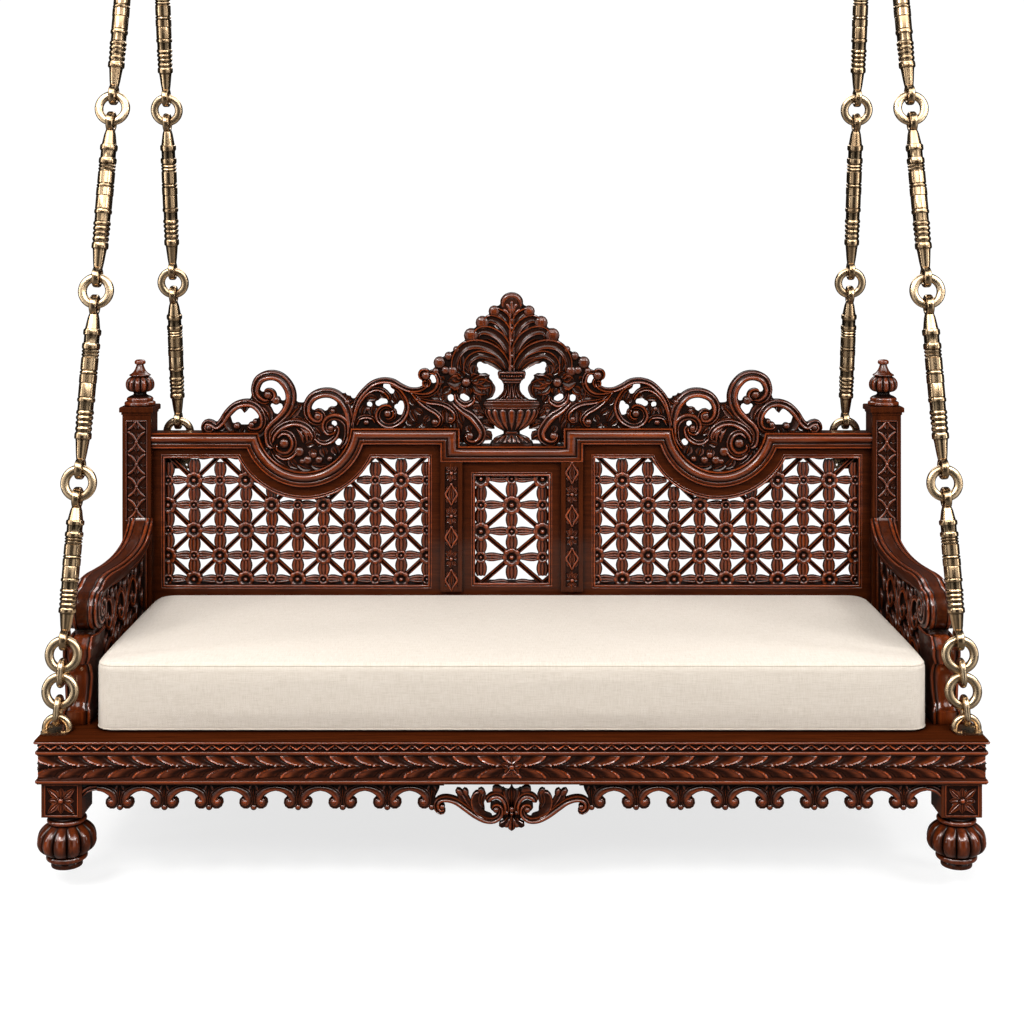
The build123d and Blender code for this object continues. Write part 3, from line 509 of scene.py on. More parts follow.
def lathe(out, prof, centre, seg=48, lobes=0, depth=None, cav=None, axis=None, sharp_groove=0.5):
    """Revolved about a vertical line through centre (mm). prof is (radius, z); depth(z) is how deep the gadroon grooves are, as a share of the radius."""
    V, C = [], []
    for i, (r, z) in enumerate(prof):
        g = depth(z) if depth else 0.0
        for j in range(seg):
            a = 2 * math.pi * j / seg
            lobe = abs(math.cos(a * lobes / 2)) ** sharp_groove if lobes else 1.0
            rr = r * (1 - g * (1 - lobe))
            V.append((rr * math.cos(a), rr * math.sin(a), z))
            base = cav[i] if cav else 0.6
            C.append(base if not (lobes and g > 0.01) else 0.03 + (base - 0.03) * lobe ** 1.7)
    n = len(prof)
    F = grid_faces(n, seg, wrap_m=True)
    F.append(tuple(reversed(range(seg))))
    F.append(tuple((n - 1) * seg + j for j in range(seg)))
    V = np.array(V)
    if axis is not None:
        V = V @ np.array(axis)
    out.add(V + np.array(centre), F, C)


def resample_profile(prof, step):
    out = [prof[0]]
    for a, b in zip(prof, prof[1:]):
        d = math.hypot(b[0] - a[0], b[1] - a[1])
        k = max(1, int(d / step))
        for i in range(1, k + 1):
            out.append((a[0] + (b[0] - a[0]) * i / k, a[1] + (b[1] - a[1]) * i / k))
    return out


def smooth_profile(pts, step=2.0):
    p, _, _ = catmull(pts, step)
    return [tuple(x) for x in p]


# planes: (u, v, height) -> (X, Y, Z), facing front, back, left, right
def face_front(y):
    return lambda p: np.column_stack([p[:, 0], y - p[:, 2], p[:, 1]])


def face_back(y):
    return lambda p: np.column_stack([-p[:, 0], y + p[:, 2], p[:, 1]])


def face_left(x):
    """Faces -X; u runs towards the front (-Y)."""
    return lambda p: np.column_stack([x - p[:, 2], -p[:, 0], p[:, 1]])


def face_right(x):
    """Faces +X; u runs towards the back (+Y)."""
    return lambda p: np.column_stack([x + p[:, 2], p[:, 0], p[:, 1]])


def mirror(m, about=0.0):
    """A copy mirrored in u about a line."""
    out = Mesh()
    for v, c in zip(m.v, m.c):
        w = v.copy()
        w[:, 0] = 2 * about - w[:, 0]
        out.v.append(w)
        out.c.append(c)
    out.f = [tuple(reversed(f)) for f in m.f]
    out.n = m.n
    return out


# ------------------------------------------------------------------ leaf band and zigzag round the platform
def leaf_height(x, u):
    """x in mm from the middle of the band, u from 0 at the midline to 1 at the fillet. Returns height (mm) and carving depth."""
    pitch = 46.5
    ax = abs(x)
    a = 58.0
    lean = a * (1 - math.sqrt(max(0.0, 1 - (1 - u) ** 2)))
    ph = ((ax + lean - 20) / pitch) % 1.0  # 0 at a leaf's outer rim, growing outwards
    ph = 1.0 - ph  # now 0 just inside the rim, 1 at the next leaf's shadow
    # rim: a bright ridge, then the blade with two ribs, then a dark gap
    if ph < 0.15:
        d = abs(ph - 0.075) / 0.075
        h = 6.2 - 2.3 * d ** 2
        c = 1.0 - 0.45 * d ** 2
    elif ph < 0.84:
        q = (ph - 0.15) / 0.69
        h = 3.7 - 2.5 * q + 0.50 * math.sin(q * math.pi * 2.2)
        c = 0.60 - 0.38 * q + 0.16 * math.sin(q * math.pi * 2.2)
    else:
        q = (ph - 0.84) / 0.16
        h = 0.9 - 1.9 * math.sin(q * math.pi)
        c = 0.0
    edge = min(1.0, (1 - u) / 0.10) if u > 0.9 else 1.0
    mid = min(1.0, u / 0.10)
    h = h * (0.35 + 0.65 * edge) * (0.35 + 0.65 * mid)
    c = c * (0.3 + 0.7 * edge) * (0.2 + 0.8 * mid)
    return h, c


def band_mesh(half, z0=193.0, z1=238.5):
    m = Mesh()
    xs = np.linspace(-half, half, int(2 * half / 1.7) + 1)
    rows = 27
    us = np.linspace(-1, 1, rows)
    zm = (z0 + z1) / 2
    V, C = [], []
    for x in xs:
        for u in us:
            h, c = leaf_height(x, abs(u))
            V.append((x, zm + u * (z1 - z0) / 2, h))
            C.append(c)
    F = [tuple(reversed(f)) for f in grid_faces(len(xs), rows)]
    m.add(V, F, C)
    # the flower at the middle
    for k in range(5):
        a = math.pi / 2 + 2 * math.pi / 5 * k
        petal(m, (3 * math.cos(a), zm + 3 * math.sin(a)), (21 * math.cos(a), zm + 20 * math.sin(a)), 8.2, 5.4, 1.6, "LF", zb=-2)
    ball(m, (0, zm), 5.4, 5.0, 0.9, base=-2)
    return m


def fillet(m, x0, x1, z, r, z_base=0.0):
    """A half-round bead along u."""
    V, C = [], []
    n = 7
    for x in (x0, x1):
        for i in range(n):
            a = math.pi * i / (n - 1)
            V.append((x, z - r * math.cos(a), z_base + r * 0.95 * math.sin(a)))
            C.append(0.35 + 0.6 * math.sin(a))
    m.add(V, [tuple(reversed(f)) for f in grid_faces(2, n)], C)


def zigzag_mesh(half, z0=246.4, z1=259.6):
    """Chip carving: triangles point up and down in turn, with a small notch in each."""
    m = Mesh()
    pitch = 29.0
    zm, hh = (z0 + z1) / 2, (z1 - z0) / 2
    xs = np.linspace(-half, half, int(2 * half / 1.15) + 1)
    rows = 15
    V, C = [], []
    for x in xs:
        p = (x / pitch) % 1.0
        tri = 1 - 4 * abs(p - 0.5)  # -1..1
        cell = int(math.floor(x / pitch))
        for j in range(rows):
            u = -1 + 2 * j / (rows - 1)
            d = abs(u - tri * 0.80)
            ridge = max(0.0, 1 - d / 0.46) ** 0.8
            inner = max(0.0, 1 - abs(u + tri * 0.62) / 0.26) * (0.7 if abs(tri) > 0.45 else 0.0)
            h = 0.2 + 3.6 * max(ridge, inner * 0.8)
            edge = 1.0 if abs(u) < 0.97 else 0.3
            V.append((x, zm + u * hh, h * edge))
            C.append(max(0.02, 1.0 * ridge ** 0.8, 0.8 * inner) * edge)
    m.add(V, [tuple(reversed(f)) for f in grid_faces(len(xs), rows)], C)
    return m


# The fillets of the CAD bands stand 4 proud of the sunk field, which is 3 deep: the leaves sit in it.
BY, BX = 370.0, 895.0
for name, half, plane in (
    ("front", 893.5, face_front(-(BY - 3))), ("rear", 893.5, face_back(BY - 3)),
    ("left", 366, face_left(-(BX - 3))), ("right", 366, face_right(BX - 3)),
):
    m = Mesh()
    m.merge(band_mesh(half), plane)
    m.obj(f"leaves_{name}", C_BAND if half > 500 else C_BANDY, sharp=50)
def bead_round(out, z, x, y, r, rc=5.0):
    """A half round moulding all round the platform, mitred at the corners."""
    m_ = 9
    V, C = [], []
    path = []
    for cx, cy, a0 in ((x - rc, y - rc, 0), (-x + rc, y - rc, 90), (-x + rc, -y + rc, 180), (x - rc, -y + rc, 270)):
        for g in np.linspace(a0, a0 + 90, 7):
            path.append((cx, cy, math.cos(math.radians(g)), math.sin(math.radians(g))))
    full = []
    for i, p in enumerate(path):
        q = path[(i + 1) % len(path)]
        full.append(p)
        gap = math.hypot((q[0] + rc * q[2]) - (p[0] + rc * p[2]), (q[1] + rc * q[3]) - (p[1] + rc * p[3]))
        if gap > 30:
            k = int(gap / 14)
            full.extend((p[0] + (q[0] - p[0]) * t / k, p[1] + (q[1] - p[1]) * t / k, p[2], p[3]) for t in range(1, k))
    for px_, py_, nx_, ny_ in full:
        for j in range(m_):
            a = math.pi * (j / (m_ - 1)) - math.pi / 2
            d = rc - r + r * math.cos(a)
            V.append((px_ + nx_ * d, py_ + ny_ * d, z + r * math.sin(a)))
            C.append(0.25 + 0.6 * math.cos(a) ** 1.5)
    out.add(V, grid_faces(len(full), m_, wrap_n=True), C)


m = Mesh()
bead_round(m, 242.6, 899.6, 374.6, 3.9)
bead_round(m, 188.0, 899.6, 374.6, 3.9)
bead_round(m, 262.3, 902.2, 377.2, 2.3, 6.0)
m.obj("platform_beads", C_BEAD, sharp=50)
for name, half, plane in (
    ("front", 892.5, face_front(-368.0)), ("rear", 892.5, face_back(368.0)),
    ("left", 367.5, face_left(-893.0)), ("right", 367.5, face_right(893.0)),
):
    m = Mesh()
    m.merge(zigzag_mesh(half), plane)
    m.obj(f"zigzag_{name}", C_ZIG_BRIGHTENED, sharp=60)


# ------------------------------------------------------------------ aprons
def arch_bay(m, xc, both=True, t=8.0, only=(1, -1)):
    """One hanging arch with a volute at each foot. Heights are from the apron's middle plane."""
    for s in only:
        pts = [(0, 174.2), (-13, 172.0), (-24.6, 166.2), (-32.4, 157.6), (-34.8, 149.0), (-33.0, 142.4), (-28.0, 139.2),
               (-22.6, 141.0), (-20.2, 146.2), (-22.0, 151.4), (-26.4, 153.0)]
        p = [(xc + s * x, z) for x, z in pts]
        stroke(m, p, [7.0, 7.8, 8.8, 9.0, 7.6, 6.8, 5.6, 4.4], t - 1.0, 1.0, "AL" if s > 0 else "AR", zb=0, ends="fr", both=both)
        ball(m, (xc + s * -26.4, 147.0), 5.6, t - 3.0, 0.95, base=0, hi=1.0)
        if both:
            b = Mesh()
            ball(b, (xc + s * -26.4, 147.0), 5.6, t - 3.0, 0.95, base=0, hi=1.0)
            for v in b.v:
                v[:, 2] *= -1
            m.merge(b.flipped())


def pendant(m, xc, t=8.0):
    m2 = Mesh()
    ball(m2, (xc, 135.8), 6.2, 1.0, 0.85, base=0, squash=1.0)
    petal(m2, (xc, 176.5), (xc, 150), 6.4, t - 1.5, 0.6, "LF", zb=0)
    petal(m2, (xc - 3, 181), (xc - 9, 166), 3.6, t - 3.0, 0.6, "RD", zb=0)
    petal(m2, (xc + 3, 181), (xc + 9, 166), 3.6, t - 3.0, 0.6, "RD", zb=0)
    back = [(xc - 17, 184), (xc - 14, 171), (xc - 7.5, 158), (xc - 5, 138), (xc + 5, 138), (xc + 7.5, 158), (xc + 14, 171), (xc + 17, 184)]
    plate(m2, back, 0, 4.6, 0.04, 0.02, back=False)
    for v in m2.v:
        m.v.append(v)
        m.v.append(v * np.array([1, 1, -1]))
    for c in m2.c:
        m.c.append(c)
        m.c.append(c)
    # interleaved copies need their own offsets
    n0 = m.n
    offs, k = [], 0
    for v in m2.v:
        offs.append((k, len(v)))
        k += len(v)
    starts = np.zeros(m2.n, int)
    pos = 0
    place, place_b = np.zeros(m2.n, int), np.zeros(m2.n, int)
    for (a, ln) in offs:
        place[a:a + ln] = n0 + pos + np.arange(ln)
        place_b[a:a + ln] = n0 + pos + ln + np.arange(ln)
        pos += 2 * ln
    for f in m2.f:
        m.f.append(tuple(place[i] for i in f))
        m.f.append(tuple(place_b[i] for i in reversed(f)))
    m.n += 2 * m2.n


def both_sides(src, t=0.0):
    """The carving and its mirror image behind the middle plane."""
    out = Mesh()
    out.merge(src)
    b = Mesh()
    b.merge(src, lambda v: v * np.array([1, 1, -1]))
    out.merge(b.flipped())
    return out


def px014(pts):
    return [((380 + x / 7.127 - 511.7) * 1.885, 1229 - (775 + y / 7.127 - 230) * 1.885) for x, y in pts]


def cartouche():
    m = Mesh()
    K = dict(zb=0)
    S = lambda pts, w, h, kind="CH", ends="rr", z0=0.6, **k: stroke(m, px014(pts), [1.32 * x for x in w], h, z0, kind, zb=0, ends=ends, **k)
    # dark ground in two parts, so that the gaps under the fillet stay open
    for pts, w in (
        ([(560, 125), (605, 200), (700, 290), (800, 330)], 8),
        ([(690, 200), (700, 290), (780, 325)], 7),
        ([(790, 215), (850, 260), (900, 300), (940, 300)], 11),
        ([(940, 110), (940, 250), (940, 390)], 15),
        ([(850, 110), (900, 180)], 8),
    ):
        stroke(m, px014(pts), w, 4.0, 0, "BK", zb=0, ends="rr")
    S([(462, 262), (438, 282), (408, 264), (400, 225), (425, 194), (478, 186), (545, 206), (612, 252), (682, 302), (752, 336),
       (812, 339), (852, 312), (864, 272), (846, 240), (818, 238), (800, 262)], [3.6, 5.0, 5.4, 5.6, 5.8, 5.8, 5.6, 5.0, 4.2, 3.4], 8.4, z0=0.8)
    S([(575, 135), (602, 190), (650, 248), (700, 290)], [7.5, 7.4, 5.0, 3.0], 6.6, "LF", "rp")
    S([(548, 112), (560, 135), (590, 165)], [4.5, 5, 4], 7.0, "RD", "rr")
    S([(600, 112), (606, 135), (622, 170)], [4.0, 4.4, 3], 6.6, "RD", "rr")
    S([(724, 152), (690, 168), (678, 210), (694, 262), (745, 312), (800, 322)], [6.4, 6.8, 6.6, 6, 4], 7.6, "RM", "rp")
    S([(745, 135), (728, 165), (722, 215), (745, 265)], [5.0, 5.6, 4.5, 3], 6.6, "LF", "rp")
    S([(700, 118), (722, 135), (735, 160)], [4.5, 5, 4], 5.2, "RD", "rr")
    S([(762, 214), (786, 176), (838, 162), (884, 194), (904, 250), (892, 305)], [5.0, 5.6, 5.4, 5, 4.4, 3.4], 8.0, "CH", "rr")
    S([(800, 130), (835, 120), (872, 140)], [6, 6, 5], 5.0, "RD", "rr")
    S([(893, 118), (912, 168), (934, 232)], [4.6, 5.2, 3.0], 7.2, "RM", "rp")
    S([(918, 320), (896, 358), (848, 385)], [3.4, 4.6, 5.0], 6.4, "RM", "rr")
    S([(925, 330), (912, 368), (890, 392)], [2.4, 3.4, 4.4], 5.4, "RD", "rr")
    for c, r in (((441, 244), 5.2), ((826, 266), 5.6), ((904, 286), 3.6)):
        (u, v), = px014([c])
        ball(m, (u, v), r, 5.2, 0.8, base=0)
    out = Mesh()
    out.merge(m)
    out.merge(mirror(m))
    c = Mesh()
    S2 = lambda pts, w, h, kind, ends, z0=0.8: stroke(c, px014(pts), [1.3 * x for x in w], h, z0, kind, zb=0, ends=ends)
    xc = 380 + 938.5 / 7.127
    S2([(938.5, 92), (938.5, 150), (938.5, 235)], [4.0, 7.0, 4.2, 2.4], 8.6, "LF", "pp")
    S2([(938.5, 305), (938.5, 360), (938.5, 416)], [2.6, 4.6, 6.4], 8.0, "CH", "pr")
    (u, v), = px014([(938.5, 262)])
    ball(c, (0.0, v), 4.6, 6.4, 0.9, base=0, squash=1.3)
    (u, v), = px014([(938.5, 293)])
    ball(c, (0.0, v), 3.2, 6.4, 0.8, base=0)
    out.merge(c, lambda q: q * np.array([1, 1, 1]))
    return out


def apron_mesh(half, first, n_each, cart):
    m = Mesh()
    step = 84.4 if cart else 84.1
    centres = [first + step * i for i in range(n_each)]
    for xc in centres:
        for s in (-1, 1):
            last = cart and xc == centres[-1]
            arch_bay(m, s * xc, only=(s,) if last else (1, -1))
            if last:  # the outermost arch dies into the leg block
                p = [(s * (xc + x), z) for x, z in ((0, 174.2), (13, 172.0), (23, 166.8), (30.5, 159.5))]
                stroke(m, p, 6.3, 7.0, 1.0, "CH", zb=0, ends="ff", both=True)
    pend = [c + step / 2 for c in centres[:-1]]
    if cart:
        pend.append(centres[0] - step / 2)
    else:
        pend.append(0.0)
    for p in pend:
        if abs(p) < half - 4:
            pendant(m, p)
            if p:
                pendant(m, -p)
    if cart:
        m.merge(both_sides(cartouche()))
    # the strip that hangs under the fillet
    v = [(-half, 184), (-half, 177.5), (half, 177.5), (half, 184)]
    if cart:
        for s in (-1, 1):
            a, b = sorted((s * 128, s * half))
            plate(m, [(a, 177.5), (b, 177.5), (b, 184), (a, 184)], -5.0, 5.0, 0.06, 0.04)
        plate(m, [(-128, 181.6), (128, 181.6), (128, 184), (-128, 184)], -5, 5, 0.1, 0.05)
    else:
        plate(m, [(-half, 177.5), (half, 177.5), (half, 184), (-half, 184)], -5.0, 5.0, 0.06, 0.04)
    return m


for name, half, first, n_each, cart, plane in (
    ("front", 811.8, 193.5, 8, True, face_front(-356)), ("rear", 811.8, 193.5, 8, True, face_back(356)),
    ("left", 289.8, 42.0, 3, False, face_left(-881)), ("right", 289.8, 42.0, 3, False, face_right(881)),
):
    m = Mesh()
    m.merge(apron_mesh(half, first, n_each, cart), plane)
    m.obj(f"scroll_apron_{name}", C_X if cart else C_Y, nodes=(f"apron_{name}",), sharp=42)


# ------------------------------------------------------------------ leg blocks' flowers and melon feet
def block_flower(m):
    zc = 151.5
    plate(m, [(-29, zc - 27), (29, zc - 27), (29, zc + 27), (-29, zc + 27)], -1, 0.25, 0.10, 0.05, back=False)
    for k in range(4):
        a = math.pi / 4 + math.pi / 2 * k
        petal(m, (3 * math.cos(a), zc + 3 * math.sin(a)), (37.5 * math.cos(a), zc + 35 * math.sin(a)), 6.6, 4.6, 0.4, "LF", zb=0)
        a += math.pi / 4
        ln = 25
        petal(m, (4 * math.cos(a), zc + 4 * math.sin(a)), (ln * math.cos(a), zc + ln * math.sin(a)), 6.8, 3.4, 0.2, "LF", zb=0, cav=0.9)
        for d in (-0.42, 0.42):
            petal(m, (8 * math.cos(a + d), zc + 8 * math.sin(a + d)), (22 * math.cos(a + d), zc + 22 * math.sin(a + d)), 2.8, 2.2, 0.2, "RD", zb=0, cav=0.7)
    ball(m, (0, zc), 5.2, 3.2, 0.8, base=0)
    # the raised edge round the sunk square
    for x0, y0, x1, y1 in ((-31, zc - 29, 31, zc - 29), (31, zc - 29, 31, zc + 29), (31, zc + 29, -31, zc + 29), (-31, zc + 29, -31, zc - 29)):
        stroke(m, [(x0, y0), ((x0 + x1) / 2, (y0 + y1) / 2), (x1, y1)], 1.5, 1.7, 0, "RD", zb=0, ends="ff", step=12)


m = Mesh()
f = Mesh()
block_flower(f)
for sx in (-1, 1):
    for sy in (-1, 1):
        ox, oy = sx * 850.5, sy * 328.5
        faces = [face_front(oy - 38.5) if sy < 0 else face_back(oy + 38.5)]
        sh = ox if sy < 0 else -ox
        m.merge(f, lambda v, p=faces[0], sh=sh: p(v + np.array([sh, 0, 0])))
        p = face_left(ox - 38.5) if sx < 0 else face_right(ox + 38.5)
        sh = -oy if sx < 0 else oy
        m.merge(f, lambda v, p=p, sh=sh: p(v + np.array([sh, 0, 0])))
m.obj("leg_flowers", C_BLOCK, sharp=45)

m = Mesh()
foot = smooth_profile([(24, 15.0), (28.6, 15.4), (29.5, 18), (29.3, 23), (28.0, 26.5), (30, 28.2), (36, 28.8), (38.4, 31), (38.6, 35), (36.5, 38.5), (33, 39.6), (33, 41)], 1.2)
melon = smooth_profile([(34, 40), (43.5, 43.5), (51.5, 50.5), (55.8, 60), (56, 68), (52.5, 80), (45.5, 89), (37, 95.5), (33.5, 97.8)], 2.2)
neck = smooth_profile([(31.5, 96.5), (33, 99), (36.4, 101), (37.2, 104.5), (35.5, 107.5), (31.8, 110), (31.2, 113), (34.5, 116.5), (35.5, 119)], 1.2)
for sx in (-1, 1):
    for sy in (-1, 1):
        c = (sx * 850.5, sy * 328.5, 0)
        lathe(m, foot, c, 56, cav=[0.40 + 0.30 * (p[0] > 34) + 0.1 * (p[0] > 28.6) for p in foot])
        lathe(m, melon, c, 144, 12, lambda z: 0.17 * math.sin(math.pi * min(1, max(0, (z - 38) / 62))) ** 0.5, cav=[0.78] * len(melon), sharp_groove=0.36)
        lathe(m, neck, c, 56, cav=[0.25 + 0.6 * (p[0] > 34.2) for p in neck])
m.obj("melon_feet_carved", C_Z, nodes=("melon_feet",), sharp=60)

# ------------------------------------------------------------------ posts: vine panels, finials
def vine(m, z0=567.0, z1=791.0, hw=22.5, pitch=51.0):
    """Crossing stems that bow in to the middle line: pointed lozenges with a bud in each, and leaves at the edges."""
    plate(m, [(-hw, z0), (hw, z0), (hw, z1), (-hw, z1)], -3.6, -3.2, 0.42, 0.05, back=False)
    nodes = [z1 - 46 - pitch * i for i in range(5)]
    K = dict(zb=-3.2)
    for i, zt in enumerate([nodes[0] + pitch] + nodes):
        for s in (-1, 1):
            for d in (-1, 1):  # from the crossing at zt up (1) or down (-1) to the edge
                zm = zt + d * pitch / 2
                if not (z0 + 2 < (zt + zm) / 2 < z1 - 2):
                    continue
                pts = [(0, zt), (s * 3.2, zt + d * 7.0), (s * 9.5, zt + d * 15.5), (s * 20.5, zm - d * 1.5)]
                pts = [(x, min(max(z, z0 + 1), z1 - 1)) for x, z in pts]
                stroke(m, pts, [2.6, 3.6, 3.9, 2.8], 5.2, -3.2, "RD", zb=-3.2, ends="rr", step=1.6, cav=1.0)
        if z0 + 12 < zt < z1 - 4:
            ball(m, (0, zt), 4.6, -0.2, 0.9, base=-3.2, seg=12, rings=4)
        for d in (-1, 1):
            a, b = zt + d * 8.0, zt + d * 23.5
            if z0 + 1 < a < z1 - 1 and z0 + 1 < b < z1 - 1:
                petal(m, (0, a), (0, b), 6.0, 5.4, -3.2, "LF", zb=-3.2)
        for s in (-1, 1):
            if z0 + 6 < zt < z1 - 6:
                petal(m, (s * 21.5, zt), (s * 8.0, zt), 6.0, 4.0, -3.2, "LF", zb=-3.2, cav=0.75)


def frame_line(m, x0, z0, x1, z1, w=1.5, h=1.4, lvl=0.0):
    for a, b in (((x0, z0), (x1, z0)), ((x1, z0), (x1, z1)), ((x1, z1), (x0, z1)), ((x0, z1), (x0, z0))):
        mid = ((a[0] + b[0]) / 2, (a[1] + b[1]) / 2)
        stroke(m, [a, mid, b], w, h, lvl, "RD", zb=lvl, ends="ff", step=30)


def pilaster_vine(m, z0, z1, hw, seed):
    """Palmettes and lozenges in turn, filling the width of the sunk strip."""
    plate(m, [(-hw, z0), (hw, z0), (hw, z1), (-hw, z1)], -3.7, -3.2, 0.20, 0.05, back=False)
    n = 6
    pitch = (z1 - z0) / n
    q = hw / 15.0
    for i in range(n):
        zt = z1 - pitch * i
        zc = zt - pitch * 0.5
        k = (i + seed) % 2
        if k == 0:  # a spread palmette about a bead
            for a, ln, w in ((90, 24, 5.6), (-90, 22, 5.4), (50, 22, 5.2), (130, 22, 5.2), (-48, 20, 4.8), (-132, 20, 4.8), (4, 14.5, 4.0), (176, 14.5, 4.0)):
                ca, sa = math.cos(math.radians(a)), math.sin(math.radians(a))
                petal(m, (3 * ca * q, zc + 3 * sa), (ln * ca * q, zc + ln * sa), w, 4.8, -3.2, "LF", zb=-3.2, bend=0.10 * (1 if ca > 0 else -1) * (1 if sa > 0 else -1))
            ball(m, (0, zc), 4.8, 0.0, 0.9, base=-3.2, seg=12, rings=4)
        else:  # a pointed lozenge with a bud, leaves in the corners
            for s in (-1, 1):
                stroke(m, [(0, zt + 1), (s * 5, zt - 10), (s * 13.2 * q, zc), (s * 5, zc - 14), (0, zt - pitch - 1)], [1.8, 2.9, 3.2, 2.9, 1.8], 4.6, -3.2, "RD", zb=-3.2, ends="rr", step=1.6)
                petal(m, (s * 6, zt - 4), (s * 14.2 * q, zc + 9), 4.4, 4.2, -3.2, "LF", zb=-3.2, bend=-s * 0.15)
                petal(m, (s * 6, zt - pitch + 4), (s * 14.2 * q, zc - 9), 4.4, 4.2, -3.2, "LF", zb=-3.2, bend=s * 0.15)
            petal(m, (0, zc + 18), (0, zc - 18), 7.4, 5.6, -3.2, "LF", zb=-3.2)
            ball(m, (0, zt - 1), 3.6, -0.2, 0.9, base=-3.2, seg=10, rings=4)


m = Mesh()
v = Mesh()
vine(v)
frame_line(v, -23.6, 565.5, 23.6, 792.5, 1.5, 1.3)
for s in (-1, 1):
    m.merge(v, lambda q, s=s: face_front(260)(q + np.array([s * 856.5, 0, 0])))
m.obj("post_vines", C_Z, sharp=45)

m = Mesh()
for s in (-1, 1):
    v = Mesh()
    pilaster_vine(v, 402, 697, 15.0, 0 if s < 0 else 1)
    m.merge(v, lambda q, s=s: face_front(270)(q + np.array([s * 138.2, 0, 0])))
m.obj("pilaster_vines", C_PIL, sharp=45)

m = Mesh()
base = smooth_profile([(33.5, 825), (35, 827), (35, 832), (32.5, 834.5), (29, 836), (30.2, 839), (29, 843), (24, 846.5), (17, 849.5), (14.4, 852.5), (15.5, 856)], 1.2)
bulb = smooth_profile([(13, 855.5), (24, 858), (31, 864), (33.2, 872), (32, 880.5), (27, 887.5), (20, 892), (17.5, 893)], 1.4)
skirt = smooth_profile([(17, 892), (23.4, 893.5), (24.2, 895.6), (22, 897.4), (17.8, 900), (13.6, 905), (10.8, 910.5), (8.8, 916), (8.0, 919)], 1.0)
knob = smooth_profile([(8.0, 918.5), (9.6, 919.6), (12.0, 921.2), (12.6, 924), (12.0, 927.2), (8.6, 930), (4, 930.8), (0.6, 931)], 0.9)
for s in (-1, 1):
    c = (s * 856.5, 295, 0)
    lathe(m, base, c, 48, cav=[0.18 + 0.62 * (p[0] > 28) for p in base])
    lathe(m, bulb, c, 144, 12, lambda z: 0.20 * math.sin(math.pi * min(1, max(0, (z - 855) / 40))) ** 0.6, cav=[0.82] * len(bulb), sharp_groove=0.5)
    lathe(m, skirt, c, 64, cav=[0.3] + [0.85] * 3 + [0.66] * (len(skirt) - 4))
    lathe(m, knob, c, 40, cav=[0.25, 0.5] + [0.85] * (len(knob) - 2))
m.obj("finials_turned", C_Z, nodes=("finials",), sharp=60)

# ------------------------------------------------------------------ top rail's moulding, swept and mitred
POST_IN = 856.5 - 32.5
DIPX, DIPZ = 474.7, 782.2


def half_edge(r, zl, zr, zc, xstep, k=16):
    """Points of the left half of an edge of the rail, from the post to the middle, in matching numbers for every level."""
    ax = lambda z: math.sqrt(r * r - (z - DIPZ) ** 2)
    a = math.atan2(zl - DIPZ, -ax(zl))
    b = math.atan2(zr - DIPZ, ax(zr))
    if a > 0:
        a -= 2 * math.pi
    out = [(-POST_IN, zl)]
    for t in np.linspace(0, 1, 9)[1:]:
        out.append((-POST_IN + (-(DIPX + ax(zl)) + POST_IN) * t, zl))
    for t in np.linspace(0, 1, 4 * k)[1:]:
        g = a + (b - a) * t
        out.append((-DIPX + r * math.cos(g), DIPZ + r * math.sin(g)))
    x0 = -(DIPX - ax(zr))
    for t in np.linspace(0, 1, 12)[1:]:
        out.append((x0 + (-xstep - x0) * t, zr))
    for t in np.linspace(0, 1, 4)[1:]:
        out.append((-xstep, zr + (zc - zr) * t))
    for t in np.linspace(0, 1, 6)[1:]:
        out.append((-xstep + xstep * t, zc))
    return np.array(out)


RAIL_PROF = [  # share from the top edge to the underside, height in front of the rail's plane, depth
    (0.0, -3.0, .2), (0.0, 2.2, .8), (.03, 3.2, 1.0), (.09, 3.2, .8), (.115, 1.0, .15), (.13, .6, .08), (.15, 2.2, .35), (.20, 4.8, .62), (.28, 6.9, .80),
    (.37, 7.8, .90), (.46, 7.4, .80), (.55, 5.8, .62), (.61, 3.6, .42), (.64, 1.6, .22), (.66, .8, .06), (.69, .9, .10), (.71, 1.8, .6), (.74, 2.2, .75),
    (.84, 1.8, .55), (.865, .9, .12), (.88, .9, .10), (.90, 2.0, .85), (.95, 2.4, 1.0), (.99, 1.8, .8), (1.0, 0.6, .3), (1.0, -3.0, .1)]


def rail_moulding():
    m = Mesh()
    top = half_edge(107, 764.4, 774.7, 733.7, 119)
    bot = half_edge(142, 729, 738, 697.7, 163.6)
    top = np.vstack([top, (top[:-1] * np.array([-1, 1]))[::-1]])
    bot = np.vstack([bot, (bot[:-1] * np.array([-1, 1]))[::-1]])
    V, C = [], []
    for a, b in zip(top, bot):
        for s, h, c in RAIL_PROF:
            p = a + (b - a) * s
            V.append((p[0], p[1], h))
            C.append(c)
    m.add(V, grid_faces(len(top), len(RAIL_PROF)), C)
    return m


m = Mesh()
rm = rail_moulding()
m.merge(rm, face_front(270))
m.merge(rm, face_back(320))
m.obj("top_rail_moulding", C_X, sharp=32)


